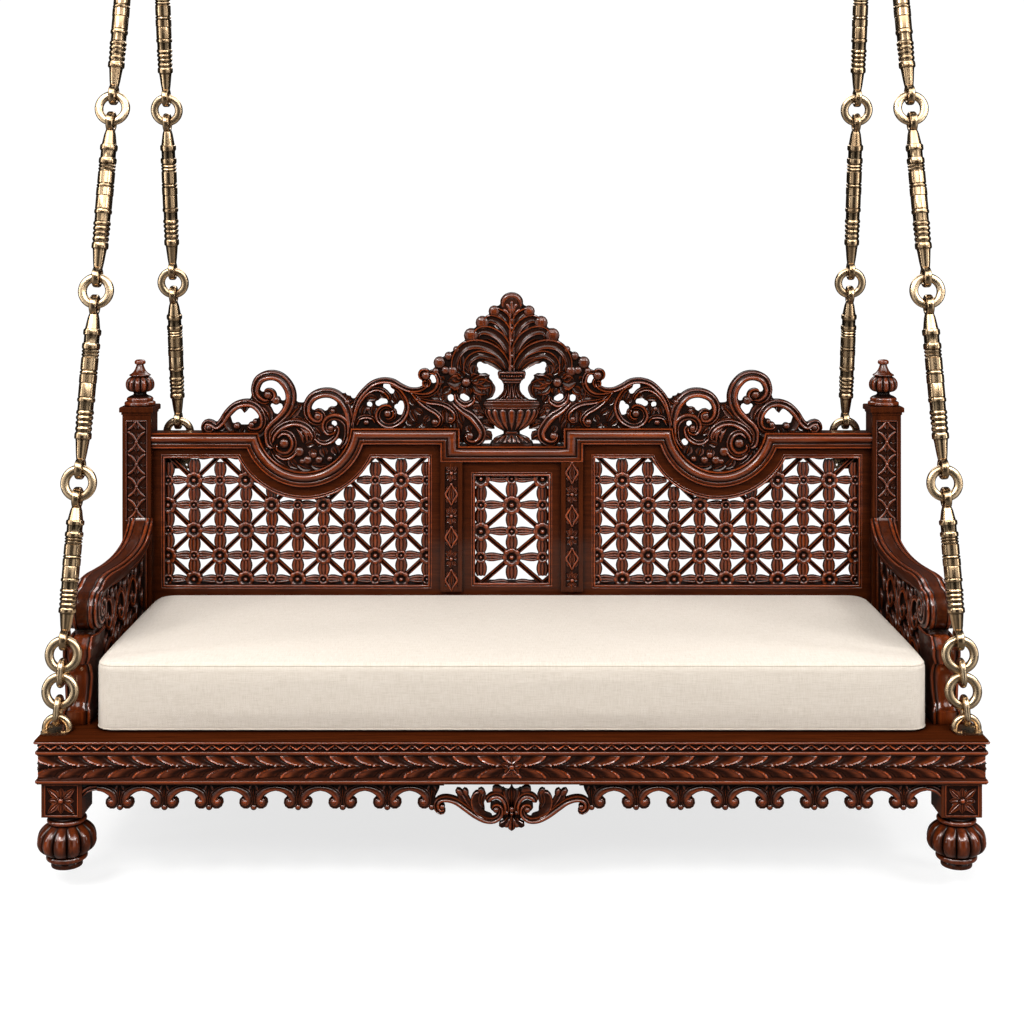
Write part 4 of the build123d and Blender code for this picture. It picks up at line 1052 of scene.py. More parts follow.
# inner beads of the panel frames
def opening_side(inset=0.0):
    r = 172 + inset
    x0, x1, z0, z1 = -796 + inset, -191.7 - inset, 414.4 + inset, 705.5 - inset
    xs = math.sqrt(max(0, r * r - (z1 - DIPZ) ** 2))
    pts = [(x0, z0)] + [(x0 + (x1 - x0) * t, z0) for t in np.linspace(0, 1, 20)[1:]] + [(x1, z0 + (z1 - z0) * t) for t in np.linspace(0, 1, 10)[1:]]
    pts += [(x1 + (-DIPX + xs - x1) * t, z1) for t in np.linspace(0, 1, 6)[1:]]
    a0 = math.atan2(z1 - DIPZ, xs)
    a1 = -math.pi - a0
    for t in np.linspace(0, 1, 30)[1:]:
        g = a0 + (a1 - a0) * t
        pts.append((-DIPX + r * math.cos(g), DIPZ + r * math.sin(g)))
    pts += [(-DIPX - xs + (x0 + DIPX + xs) * t, z1) for t in np.linspace(0, 1, 8)[1:]]
    pts += [(x0, z1 + (z0 - z1) * t) for t in np.linspace(0, 1, 10)[1:-1]]
    return np.array(pts)


def opening_centre(inset=0.0):
    x, z0, z1 = 84.5 - inset, 419.2 + inset, 664.7 - inset
    c = [(-x, z0), (x, z0), (x, z1), (-x, z1)]
    out = []
    for a, b in zip(c, c[1:] + c[:1]):
        for t in np.linspace(0, 1, 8)[:-1]:
            out.append((a[0] + (b[0] - a[0]) * t, a[1] + (b[1] - a[1]) * t))
    return np.array(out)


def bead_loop(m, fn, prof):
    """A moulding round an opening. prof: (inset from the edge into the opening, height, depth)."""
    rows = [fn(i) for i, _, _ in prof]
    n = len(rows[0])
    V, C = [], []
    for k in range(n):
        for (i, h, c), row in zip(prof, rows):
            V.append((row[k][0], row[k][1], h))
            C.append(c)
    m.add(V, [tuple(reversed(f)) for f in grid_faces(n, len(prof), wrap_n=True)], C)


BEAD = [(-8.6, -0.5, .2), (-8.2, 1.2, .85), (-7.4, 1.6, 1.0), (-6.4, 1.2, .7), (-5.8, -0.2, .12), (-4.6, -.2, .1), (-4.0, 1.6, .7), (-2.4, 2.6, 1.0), (-.8, 2.2, .9), (.3, .6, .5), (.4, -8, .1)]
m = Mesh()
for fn, mir in ((opening_side, False), (opening_side, True), (opening_centre, False)):
    b = Mesh()
    bead_loop(b, fn, BEAD)
    b = mirror(b) if mir else b
    m.merge(b, face_front(279))
    m.merge(b, face_back(313))
m.obj("frame_beads", C_X, sharp=50)


# ------------------------------------------------------------------ lattices
def flower(r, petals=8, t=9.0):
    """A round flower: scalloped rim with a groove between the petals, a dished face and a bead. Both faces."""
    m = Mesh()
    petals = 8 if r > 15 else 6
    seg = 40 if r > 15 else 30
    V, C = [], []
    rows = [(1.0, 0.0, .0), (1.02, .46, .10), (1.08, .66, .5), (1.05, .84, 1.0), (.94, .97, 1.0), (.82, .99, .95), (.68, .93, .85), (.56, .82, .62), (.49, .62, .05), (.40, .58, .0)]
    for k, h, c in rows:
        for j in range(seg):
            a = 2 * math.pi * j / seg
            sc = abs(math.cos(a * petals / 2))
            rr = r * k * (1 - (0.15 * (1 - sc ** 0.5) if k > 0.7 else 0.0))
            hh = h * (1 - (0.20 * (1 - sc ** 0.5) if 0.5 < k and h > 0 else 0))
            V.append((rr * math.cos(a), rr * math.sin(a), t * hh))
            C.append(c * (0.24 + 0.76 * sc ** 0.40) if k > 0.45 else c)
    F = grid_faces(len(rows), seg, wrap_m=True)
    F.append(tuple((len(rows) - 1) * seg + j for j in range(seg)))
    m.add(V, F, C)
    ball(m, (0, 0), r * 0.31, t * 0.56, 1.1, hi=1.0, lo=.15, seg=10, rings=4)
    return both_sides(m)


def barrel(length, w, t=7.5):
    """A vertical ribbed barrel between two flowers, along v."""
    m = Mesh()
    for k, off in ((0, 0.0), (-1, -w * 0.30), (1, w * 0.30)):
        pts = [(off * 0.74, -length / 2), (off * .98, -length * .24), (off * 1.06, 0), (off * .98, length * .24), (off * 0.74, length / 2)]
        stroke(m, pts, [w * 0.14, w * 0.20, w * 0.225, w * 0.20, w * 0.14], t * (1.0 if k == 0 else 0.74), 0.3, "RD", zb=0, ends="ff", step=4.4)
    return both_sides(m)


def tulip(length, w, t=7.5):
    """Along u: a ribbed bud, narrow at 0 (the large flower), fullest at two thirds of its length."""
    m = Mesh()
    for k, off in ((0, 0.0), (-1, -w * 0.31), (1, w * 0.31)):
        pts = [(0, off * 0.56), (length * .3, off * .86), (length * .62, off * 1.14), (length * .85, off * 1.08), (length, off * 0.80)]
        stroke(m, pts, [w * 0.15, w * 0.195, w * 0.235, w * 0.225, w * 0.17], t * (1.0 if k == 0 else 0.78), 0.3, "RD", zb=0, ends="ff", step=4.4)
    return both_sides(m)


def bar(p, q, w=5.4, t=6.2):
    m = Mesh()
    mid = ((p[0] + q[0]) / 2, (p[1] + q[1]) / 2)
    stroke(m, [p, mid, q], w, t, 0, "VC", zb=0, ends="ff", step=30)
    return both_sides(m)


def turn(a):
    c, s = math.cos(a), math.sin(a)
    R = np.array([[c, s, 0], [-s, c, 0], [0, 0, 1]])
    return lambda v: v @ R


def lattice(xs, zs, big_first, inside, clip, big_r=18.6, small_r=11.6):
    """Flowers on a chequerboard, joined by barrels, tulips and grooved diagonal bars. inside(x, z) keeps what lies in the opening."""
    m = Mesh()
    big = lambda i, j: (i + j + (0 if big_first else 1)) % 2 == 0
    FB, FS = flower(big_r, 8, 12.0), flower(small_r, 6, 10.5)
    dx, dz = xs[1] - xs[0], abs(zs[0] - zs[1])
    nx, nz = len(xs), len(zs)
    X = [xs[0] - dx] + list(xs) + [xs[-1] + dx]
    Z = [zs[0] + dz] + list(zs) + [zs[-1] - dz]

    def put(src, x, z, ang=0.0):
        m.merge(src, lambda v: turn(ang)(v) + np.array([x, z, 0]))

    for i in range(len(X)):
        for j in range(len(Z)):
            x, z = X[i], Z[j]
            b = big(i - 1, j - 1)
            r = big_r if b else small_r
            if inside(x, z, 4):
                put(FB if b else FS, x, z)
            # to the right
            if i + 1 < len(X):
                x2 = X[i + 1]
                r2 = small_r if b else big_r
                gap = (x2 - x) - r - r2 + 5
                if inside((x + x2) / 2, z, 0):
                    if b:
                        put(tulip(gap, 17.5), x + r - 2, z)
                    else:
                        put(tulip(gap, 17.5), x2 - r2 + 2, z, math.pi)
            if j + 1 < len(Z):
                z2 = Z[j + 1]
                r2 = small_r if b else big_r
                gap = abs(z - z2) - r - r2 + 5
                zc = (z - r + z2 + r2) / 2
                if inside(x, (z + z2) / 2, 0):
                    put(barrel(gap, 26.5), x, zc)
            if i + 1 < len(X) and j + 1 < len(Z):
                x2, z2 = X[i + 1], Z[j + 1]
                p, q = ((x, z), (x2, z2)) if b else ((x2, z), (x, z2))
                seg = clip(p, q)
                if seg:
                    m.merge(bar(*seg))
    return m


def clip_seg(inside):
    def f(p, q):
        p, q = np.array(p, float), np.array(q, float)
        ts = [t for t in np.linspace(0, 1, 41) if inside(*(p + (q - p) * t), -2)]
        if not ts or (ts[-1] - ts[0]) < 0.15:
            return None
        return tuple(p + (q - p) * ts[0]), tuple(p + (q - p) * ts[-1])
    return f


def in_side(x, z, pad):
    return (-796 - 6 + pad < x < -191.7 + 6 - pad and 414.4 - 6 + pad < z < 705.5 + 6 - pad
            and math.hypot(x + DIPX, z - DIPZ) > 172 - 6 + pad)


def in_mid(x, z, pad):
    return abs(x) < 84.5 + 6 - pad and 419.2 - 6 + pad < z < 664.7 + 6 - pad


xs = [-731.2 + 59.6 * i for i in range(9)]
zs = [653, 596, 538, 480, 425]
side = lattice(xs, zs, True, in_side, clip_seg(in_side))
m = Mesh()
m.merge(side, lambda v: np.column_stack([v[:, 0], 296 - v[:, 2], v[:, 1]]))
m.obj("lattice_left_carved", C_Z, nodes=("lattice_left",), sharp=50)
m = Mesh()
m.merge(mirror(side), lambda v: np.column_stack([v[:, 0], 296 - v[:, 2], v[:, 1]]))
m.obj("lattice_right_carved", C_Z, nodes=("lattice_right",), sharp=50)
mid = lattice([-71, 0, 71], [595.8, 535, 475.6], False, in_mid, clip_seg(in_mid), 20.5, 13)
m = Mesh()
m.merge(mid, lambda v: np.column_stack([v[:, 0], 296 - v[:, 2], v[:, 1]]))
m.obj("lattice_centre_carved", C_Z, nodes=("lattice_centre",), sharp=50)

# ------------------------------------------------------------------ crests
def from_crop(x0, y0, k):
    """Sketch coordinates of the back plane: x0, y0 and scale of the drawing sheet to mm."""
    return lambda pts: [((x0 + x / k - 511.7) * 2.29, 1229 - (y0 + y / k - 230) * 2.29) for x, y in pts]


A9, A10, A11 = from_crop(195, 355, 9.503), from_crop(340, 370, 12.06), from_crop(430, 285, 9.224)
K9, K10, K11 = 2.29 / 9.503, 2.29 / 12.06, 2.29 / 9.224
T = 13.5  # half of the crest's thickness, mm


GROUND = []  # (u, v, radius) along every stroke of the crest being drawn


# painted shade: the ground takes the depth value cav, 0.03 by default, which turns the carved wood's colour nearly
# black on it
def ground_plate(out, samples, z, reach=5.0, back=1.4, cell=2.2, cav=0.03, holes=()):
    """The wood left between the strokes: their union, closed over gaps narrower than twice the reach."""
    s_ = np.array(samples)
    lo = s_[:, :2].min(0) - 3 * reach
    hi = s_[:, :2].max(0) + 3 * reach
    nx, ny = (np.ceil((hi - lo) / cell)).astype(int) + 1
    gx, gy = lo[0] + np.arange(nx) * cell, lo[1] + np.arange(ny) * cell
    X, Y = np.meshgrid(gx, gy, indexing="ij")
    d = np.full((nx, ny), 1e3)
    for u, v, r in s_:
        k = r + 2.5 * reach
        a, b = max(0, int((u - k - lo[0]) / cell)), int((u + k - lo[0]) / cell) + 2
        c, e = max(0, int((v - k - lo[1]) / cell)), int((v + k - lo[1]) / cell) + 2
        win = (slice(a, b), slice(c, e))
        d[win] = np.minimum(d[win], np.hypot(X[win] - u, Y[win] - v) - r)
    inside = d < reach
    # distance to the outside of the grown shape, from the outside cells next to it
    edge = np.zeros_like(inside)
    edge[1:-1, 1:-1] = ~inside[1:-1, 1:-1] & (inside[:-2, 1:-1] | inside[2:, 1:-1] | inside[1:-1, :-2] | inside[1:-1, 2:])
    ex, ey, ed = X[edge], Y[edge], d[edge] - reach
    f = np.full((nx, ny), -1.0)
    ii = np.argwhere(inside)
    for k in range(0, len(ii), 1500):
        q = ii[k:k + 1500]
        px_, py_ = X[q[:, 0], q[:, 1]], Y[q[:, 0], q[:, 1]]
        f[q[:, 0], q[:, 1]] = (np.hypot(px_[:, None] - ex[None], py_[:, None] - ey[None]) - ed[None]).min(1)
    f = f - (reach + back)
    for u, v, r in holes:
        f = np.minimum(f, np.hypot(X - u, Y - v) - r)
    V, F, C, ids = [], [], [], {}

    def corner(i, j):
        if ("c", i, j) not in ids:
            ids["c", i, j] = len(V)
            V.append((gx[i], gy[j], z))
            C.append(cav)
        return ids["c", i, j]

    def cut(i, j, k, l):
        key = ("e",) + (min((i, j), (k, l)) + max((i, j), (k, l)))
        if key not in ids:
            t = f[i, j] / (f[i, j] - f[k, l])
            ids[key] = len(V)
            x, y = gx[i] + (gx[k] - gx[i]) * t, gy[j] + (gy[l] - gy[j]) * t
            V.append((x, y, z))
            V.append((x, y, 0.0))
            C.extend((cav, cav))
        return ids[key]

    for i in range(nx - 1):
        for j in range(ny - 1):
            ring = [(i, j), (i + 1, j), (i + 1, j + 1), (i, j + 1)]
            ins = [f[p] > 0 for p in ring]
            if not any(ins):
                continue
            if all(ins):
                F.append(tuple(corner(*p) for p in ring))
                continue
            poly, walls, out_ = [], [], None
            for k in range(4):
                p, q = ring[k], ring[(k + 1) % 4]
                if ins[k]:
                    poly.append(corner(*p))
                if ins[k] != ins[(k + 1) % 4]:
                    c = cut(*p, *q)
                    poly.append(c)
                    if ins[k]:
                        out_ = c
                    elif out_ is not None:
                        walls.append((out_, c))
                        out_ = None
                    else:
                        walls.append((None, c))
            if out_ is not None and walls and walls[0][0] is None:
                walls[0] = (out_, walls[0][1])
            if len(poly) > 2:
                F.append(tuple(poly))
            for a, b in walls:
                if a is not None:
                    F.append((b, a, a + 1, b + 1))
    out.add(V, F, C)


class Carve:
    """Strokes drawn on one sheet, all on both faces of the crest; the ground between them is cut afterwards."""

    def __init__(s, m, conv, k, fat=1.5):
        s.m, s.conv, s.k, s.fat = m, conv, k, fat

    def st(s, pts, w, h=1.0, kind="CH", ends="rr", back=4.0, lvl=0.0):
        p = s.conv(pts)
        w = np.atleast_1d(np.asarray(w, float)) * s.k * s.fat
        line, t, length = catmull(p, 3.0)
        ww = np.interp(t, np.linspace(0, 1, len(w)), w) if len(w) > 1 else np.full(len(t), w[0])
        trim = np.clip(np.minimum(t, 1 - t) * length / max(1e-6, float(w.max())), 0.15, 1)
        GROUND.extend((q[0], q[1], float(r)) for q, r in zip(line, ww * trim))
        stroke(s.m, p, w, T * h - lvl, lvl, kind, zb=0, ends=ends, step=max(1.9, float(w.max()) * 0.42))

    def ball(s, c, r, h=1.0, back=3.0, hi=0.78):
        (u, v), = s.conv([c])
        r = r * s.k * 1.18
        GROUND.append((u, v, r))
        ball(s.m, (u, v), r, T * h * 0.50, min(0.9, T * h * 0.58 / r), base=0, hi=hi)

    def leaf(s, pts, w, h=0.85, kind="LF", ends="rp", back=3.0):
        w = float(w) * 1.22
        s.st(pts, [w * .6, w, w * .98, w * .75], h, kind, ends, back)


def crest_side():
    GROUND.clear()
    m = Mesh()
    a = Carve(m, A9, K9)
    # tall crook
    a.st([(700, 440), (640, 450), (575, 400), (560, 330), (600, 240), (700, 200), (800, 225), (880, 320), (900, 430), (860, 540), (790, 620), (720, 680),
          (680, 740), (680, 820), (700, 870), (740, 890)], [20, 26, 32, 34, 36, 36, 34, 30, 26, 22], 1.0)
    a.st([(700, 440), (735, 400), (720, 360), (680, 345), (645, 365)], [20, 20, 18, 14], .92)
    a.ball((680, 385), 34, .95)
    a.ball((760, 440), 36, .85)
    a.leaf([(600, 480), (560, 440), (520, 400)], 22, .8)
    # low tail scroll
    a.st([(175, 700), (150, 745), (95, 745), (70, 700), (95, 655), (140, 660), (190, 690), (240, 650), (300, 560), (380, 490), (480, 465), (560, 490), (620, 560), (640, 640),
          (620, 700), (570, 725), (510, 715), (490, 680)], [16, 20, 24, 26, 27, 28, 28, 26, 24, 20, 16], .98)
    a.ball((118, 700), 28, .85)
    a.st([(150, 760), (250, 760), (350, 765), (450, 770), (600, 780)], [16, 24, 24, 24, 20], .6, "RD")
    a.leaf([(300, 540), (285, 600), (300, 660), (330, 720), (375, 725)], 22, .9, "RM")
    a.ball((385, 685), 30, .85)
    a.ball((525, 672), 26, .85)
    a.ball((560, 640), 22, .8)
    a.leaf([(450, 470), (460, 520), (455, 560)], 18, .7)
    a.leaf([(200, 720), (250, 690), (290, 660)], 20, .7)
    a.leaf([(420, 760), (440, 720), (450, 690)], 18, .7)
    a.leaf([(590, 480), (650, 520), (695, 590), (690, 660)], 30, .85)
    a.leaf([(560, 770), (620, 740), (650, 700)], 22, .75)
    # rosette
    a.st([(715, 850), (735, 770), (800, 700), (900, 655), (1000, 660), (1080, 710), (1120, 780), (1100, 830)], [18, 24, 26, 26, 26, 22, 16], .98)
    a.st([(760, 800), (820, 745), (890, 760), (930, 830), (920, 900), (870, 950), (800, 945), (755, 905), (770, 850)], [16, 22, 24, 24, 22, 20, 14], .96)
    a.ball((838, 848), 42, .98)
    a.st([(755, 940), (820, 985), (900, 975), (960, 915)], [16, 22, 22, 14], .85)
    for pts in ([(950, 700), (1000, 765), (1022, 850)], [(985, 690), (1045, 755), (1060, 840)], [(1020, 700), (1080, 770), (1090, 820)]):
        a.st(pts, [10, 16, 12], .85, "RD", "pp", 2)
    a.ball((1000, 745), 16, .9)
    a.ball((1018, 785), 14, .9)
    # scroll, upper right
    a.st([(1120, 560), (1150, 540), (1190, 550), (1212, 590), (1190, 645), (1120, 645), (1064, 585), (1058, 490), (1108, 410), (1200, 370), (1300, 376), (1380, 430),
          (1440, 520), (1470, 640), (1472, 760), (1460, 850)], [16, 20, 24, 28, 32, 34, 34, 32, 28, 24], 1.0)
    a.ball((1160, 592), 34, .95)
    a.st([(1365, 905), (1420, 830), (1442, 740), (1430, 660), (1370, 605), (1290, 598), (1232, 640), (1222, 700), (1255, 750), (1310, 740), (1318, 700)],
         [14, 20, 24, 26, 26, 24, 22, 18, 14], .96)
    a.ball((1283, 705), 28, .9)
    a.st([(1130, 790), (1180, 835), (1250, 840), (1320, 795), (1350, 720), (1330, 680)], [14, 20, 22, 20, 14], .85)
    a.leaf([(1250, 560), (1300, 530), (1350, 560)], 20, .8)
    a.ball((1300, 540), 22, .8)
    # foliage along the rail and the dip
    for c, r in (((980, 930), 42), ((1060, 1012), 38), ((1170, 1010), 34), ((1010, 1022), 26), ((1120, 960), 30), ((1275, 1000), 28)):
        a.ball(c, r, .8)
    for pts, w in (
        ([(1100, 900), (1110, 940), (1150, 980)], 26), ([(1200, 885), (1215, 930), (1230, 980)], 26), ([(1310, 870), (1330, 920), (1350, 970)], 28),
        ([(700, 900), (750, 990), (830, 1050), (900, 1090)], 30), ([(895, 980), (915, 1040), (990, 1095)], 24), ([(1040, 880), (1090, 850), (1150, 860)], 20),
        ([(1380, 950), (1420, 900), (1440, 850)], 24), ([(1150, 880), (1170, 850), (1200, 840)], 18), ([(640, 820), (650, 870), (700, 900)], 24),
        ([(960, 1040), (1040, 1080), (1120, 1100)], 22), ([(1090, 1050), (1180, 1070), (1280, 1050)], 22), ([(1400, 990), (1440, 960), (1470, 900)], 26),
        ([(880, 625), (925, 560), (985, 500), (1030, 470)], 26), ([(850, 645), (940, 612), (1040, 640)], 24), ([(960, 540), (975, 500), (960, 460)], 20),
        ([(1020, 600), (1050, 640), (1100, 690)], 24), ([(930, 640), (1000, 640), (1060, 660)], 20), ([(790, 660), (850, 640), (900, 650)], 22),
        ([(1120, 680), (1160, 720), (1200, 780)], 26), ([(1100, 720), (1130, 740), (1180, 740)], 20),
    ):
        a.leaf(pts, w, .82)
    # lower, towards the middle: second sheet
    b = Carve(m, A10, K10)
    b.st([(1040, 160), (1010, 150), (1010, 190), (1050, 200), (1075, 160), (1050, 110)], [16, 18, 18, 14], .9)
    b.st([(125, 700), (130, 640), (160, 500), (200, 380), (270, 280), (380, 180), (500, 140), (620, 150), (730, 210), (830, 250), (930, 252), (1010, 220), (1055, 170)],
         [16, 22, 26, 27, 27, 27, 26, 24, 22, 20], 1.0)
    b.st([(150, 650), (180, 500), (240, 370), (330, 275), (430, 237), (520, 262), (580, 322), (592, 375)], [14, 20, 24, 24, 22, 16], .9)
    b.leaf([(470, 300), (515, 320), (555, 350)], 22, .85)
    b.leaf([(300, 370), (370, 340), (460, 372)], 26, .85)
    b.st([(620, 480), (562, 448), (482, 478), (446, 560), (480, 640), (560, 682), (652, 672), (742, 612), (792, 520), (802, 430), (762, 332), (702, 252), (600, 190)],
         [20, 24, 26, 27, 27, 27, 25, 22, 18], 1.0)
    b.st([(620, 480), (650, 520), (640, 580), (590, 610), (540, 600)], [20, 20, 18, 12], .9)
    b.ball((568, 535), 42, .98)
    b.st([(700, 235), (780, 330), (808, 430), (800, 500)], [14, 20, 20, 12], .85, "RM")
    b.leaf([(840, 480), (882, 560), (925, 655)], 27, .85)
    b.leaf([(790, 600), (840, 650), (890, 685)], 24, .8)
    b.st([(850, 260), (950, 380), (1050, 460), (1150, 520), (1212, 590), (1205, 660), (1160, 700), (1105, 690)], [16, 22, 25, 25, 25, 22, 16], .98)
    b.ball((1142, 642), 40, .95)
    b.st([(900, 340), (1050, 390), (1200, 410), (1300, 450), (1380, 520), (1392, 600), (1340, 655), (1290, 640)], [14, 22, 25, 25, 25, 20, 14], .98)
    b.ball((1332, 605), 34, .95)
    b.st([(1065, 40), (1120, 36), (1165, 65), (1192, 150), (1160, 240), (1080, 300), (980, 312), (880, 292), (800, 252)], [20, 24, 26, 26, 24, 22, 18, 12], 1.0)
    b.ball((1030, 75), 48, .98)
    b.st([(1065, 40), (1020, 15), (970, 35), (965, 90), (1000, 125)], [20, 20, 20, 14], .9)
    b.st([(180, 690), (220, 602), (300, 572), (390, 592), (430, 655)], [14, 20, 22, 20, 14], .85)
    b.ball((310, 645), 34, .85)
    b.leaf([(880, 480), (960, 520), (1000, 575)], 24, .8)
    for pts, w in (
        ([(350, 470), (380, 520), (380, 580)], 26), ([(250, 560), (270, 480), (310, 420)], 24), ([(420, 430), (400, 480), (390, 530)], 22),
        ([(460, 690), (500, 720), (560, 730)], 20), ([(680, 700), (740, 690), (800, 650)], 24), ([(980, 640), (1020, 680), (1050, 700)], 26),
        ([(1080, 560), (1040, 600), (1010, 650)], 24), ([(1240, 480), (1260, 540), (1250, 590)], 22), ([(1230, 690), (1270, 700), (1320, 700)], 24),
        ([(160, 700), (170, 640), (190, 590)], 22), ([(650, 260), (690, 330), (700, 400)], 24), ([(620, 330), (650, 380), (690, 420)], 20),
        ([(1080, 340), (1160, 330), (1230, 360)], 22), ([(1200, 300), (1240, 350), (1300, 400)], 22), ([(830, 330), (870, 400), (930, 440)], 22),
        ([(60, 700), (80, 620), (120, 560)], 30), ([(40, 600), (70, 540), (120, 500)], 26), ([(900, 700), (940, 680), (970, 650)], 22),
    ):
        b.leaf(pts, w, .8)
    b.ball((650, 545), 24, .7)
    b.ball((330, 480), 26, .75)
    # bud between the two sheets
    a.leaf([(1410, 470), (1440, 430), (1470, 400)], 26, .95)
    a.leaf([(1430, 480), (1475, 470), (1510, 440)], 24, .9)
    a.leaf([(1400, 440), (1405, 400), (1420, 370)], 20, .85)
    a.ball((1440, 455), 26, 1.0)
    # the wood along the rail and round the dip that the leaves stand on
    for g in np.linspace(192, 348, 60):
        GROUND.append((-DIPX + 109 * math.cos(math.radians(g)), DIPZ + 109 * math.sin(math.radians(g)), 5.0))
    for x in list(np.arange(-705, -588, 4.0)) + list(np.arange(-360, -118, 4.0)):
        GROUND.append((x, 773, 9.0))
    g = Mesh()
    ground_plate(g, [p for p in GROUND if p[1] > 640], T * 0.40)
    m.merge(g)
    return m


def crest_mid():
    GROUND.clear()
    m = Mesh()
    c = Carve(m, A11, K11)
    for pts, ball_c, r, w in (
        ([(745, 385), (715, 315), (672, 272), (625, 250), (597, 268), (600, 300)], (603, 246), 46, 30),
        ([(752, 510), (722, 435), (682, 372), (622, 330), (562, 316), (522, 348), (532, 388)], (492, 352), 54, 32),
        ([(748, 650), (712, 565), (662, 492), (592, 442), (512, 421), (452, 440), (436, 488), (470, 518)], (388, 470), 58, 34),
        ([(735, 790), (695, 705), (625, 622), (532, 571), (432, 551), (332, 575), (262, 650), (236, 740), (250, 835)], (215, 800), 42, 35),
    ):
        c.st(pts, [w * .6, w * .9, w, w, w * .95, w * .8, w * .6], 1.0, "FR")
        c.ball(ball_c, r, .85)
    c.st([(700, 800), (648, 722), (565, 666), (472, 646), (402, 670), (352, 730), (342, 832)], [14, 22, 26, 28, 28, 24, 18], .95, "FR")
    c.st([(720, 720), (680, 640), (610, 560), (540, 515), (500, 505)], [10, 16, 18, 16, 10], .75, "RM", "pp")
    c.st([(735, 590), (700, 510), (650, 450), (600, 410)], [10, 16, 16, 10], .75, "RM", "pp")
    c.st([(742, 450), (710, 390), (670, 345)], [10, 14, 10], .75, "RM", "pp")
    for pts, w in (
        ([(690, 800), (620, 730), (540, 700), (470, 710)], 24), ([(430, 740), (410, 790), (420, 840)], 24),
    ):
        c.leaf(pts, w, .85)
    for p, r in (((95, 722), 48), ((180, 662), 34), ((150, 792), 34), ((250, 600), 26), ((60, 800), 28)):
        c.ball(p, r, .85)
    # flower beside the urn
    for p, q, w in (
        ((300, 900), (165, 900), 44), ((320, 860), (270, 800), 28), ((380, 880), (470, 845), 32), ((390, 905), (560, 840), 26), ((400, 930), (545, 1010), 30),
        ((350, 950), (370, 1030), 26), ((310, 940), (270, 1010), 28), ((300, 880), (200, 830), 26), ((420, 900), (600, 930), 30),
        ((200, 950), (110, 1010), 26), ((140, 900), (80, 860), 26),
    ):
        c.leaf([p, ((p[0] + q[0]) / 2, (p[1] + q[1]) / 2 + 6), q], w * 1.06, .94, "SP")
    c.ball((342, 905), 38, 1.0)
    c.st([(215, 1080), (300, 1160), (390, 1220), (450, 1290), (492, 1370), (472, 1440), (402, 1472), (342, 1440), (335, 1380)], [14, 22, 28, 30, 30, 28, 26, 20, 14], .98)
    c.ball((375, 1402), 34, .95)
    c.st([(240, 1000), (262, 1070), (330, 1112), (400, 1082), (412, 1030)], [14, 20, 22, 20, 12], .85)
    for pts, w in (
        ([(395, 1150), (440, 1140), (490, 1155)], 24), ([(425, 1215), (465, 1200), (520, 1225)], 24), ([(480, 1285), (540, 1290), (605, 1335)], 26),
        ([(270, 1170), (290, 1240), (320, 1300)], 24), ([(250, 1250), (270, 1330), (290, 1400)], 24), ([(520, 1110), (540, 1160), (560, 1220)], 22),
        ([(500, 1390), (540, 1400), (580, 1440)], 28), ([(190, 1180), (200, 1260), (230, 1330)], 26), ([(160, 1080), (190, 1130), (230, 1160)], 24),
        ([(220, 1400), (270, 1440), (320, 1460)], 24), ([(420, 1010), (450, 1060), (480, 1100)], 24), ([(540, 1240), (570, 1290), (600, 1310)], 20),
        ([(360, 1300), (370, 1340), (390, 1370)], 20), ([(120, 1150), (130, 1230), (150, 1310)], 26), ([(140, 1340), (160, 1400), (190, 1460)], 26),
    ):
        c.leaf(pts, w, .8)
    for pts, w in (
        ([(560, 900), (570, 980), (540, 1060)], 24), ([(450, 900), (480, 970), (500, 1050)], 24), ([(300, 720), (340, 780), (400, 850)], 22),
        ([(440, 600), (480, 620), (540, 640)], 20), ([(600, 330), (640, 380), (680, 440)], 18), ([(300, 640), (290, 720), (310, 820)], 22),
        ([(440, 1110), (460, 1180), (540, 1230)], 22),
        ([(140, 980), (120, 1060), (130, 1130)], 26), ([(90, 930), (80, 1010), (100, 1080)], 26),
    ):
        c.leaf(pts, w, .74)
    out = Mesh()
    # the sheet's middle is at x = 764; strokes above are the left half
    off = A11([(764, 0)])[0][0]
    out.merge(m, lambda v: v - np.array([off, 0, 0]))
    half = Mesh()
    half.merge(out)
    out.merge(mirror(half))
    d = Mesh()
    k = Carve(d, A11, K11)
    # the shell at the top: a domed rim round a small palmette
    k.ball((764, 186), 92, .78, hi=0.34)
    rim = [(764 + 84 * math.cos(math.radians(g)), 186 - 86 * math.sin(math.radians(g))) for g in np.linspace(208, -28, 13)]
    k.st(rim, [12, 19, 21, 21, 21, 19, 12], 1.0, "RD", "pp")
    k.st([(764, 285), (764, 225), (764, 140)], [10, 18, 15], 1.06, "RD", "pr")
    for sg in (-1, 1):
        k.st([(764 + sg * 4, 290), (764 + sg * 22, 222), (764 + sg * 52, 168)], [8, 16, 17], 1.02, "RD", "pr")
        k.st([(764 + sg * 6, 300), (764 + sg * 44, 256), (764 + sg * 80, 222)], [8, 15, 16], .96, "RD", "pr")
    k.st([(764, 260), (764, 500), (764, 800)], [22, 22, 24], .9, "CH", "ff", 6)
    for y in (330, 405, 520, 660, 760):
        k.ball((764, y), 20, 1.0)
    out.merge(d, lambda v: v - np.array([off, 0, 0]))
    for y in np.arange(240, 1500, 12.0):
        GROUND.extend((x, z, 12.0) for x, z in A11([(764, y), (730, y)]))
    left = [(u - off, v, r) for u, v, r in GROUND if u - off < 14]
    gaps = [(u - off, v, r) for (u, v), r in zip(A11([(560, 765), (490, 760), (625, 790), (640, 980), (632, 1030), (600, 1260), (580, 1320), (555, 1390), (545, 1440)]), (9, 8, 6, 5, 6, 6, 10, 12, 8))]
    g = Mesh()
    ground_plate(g, left + [(-u, v, r) for u, v, r in left], T * 0.36, cell=2.6, holes=gaps + [(-u, v, r) for u, v, r in gaps])
    out.merge(g)
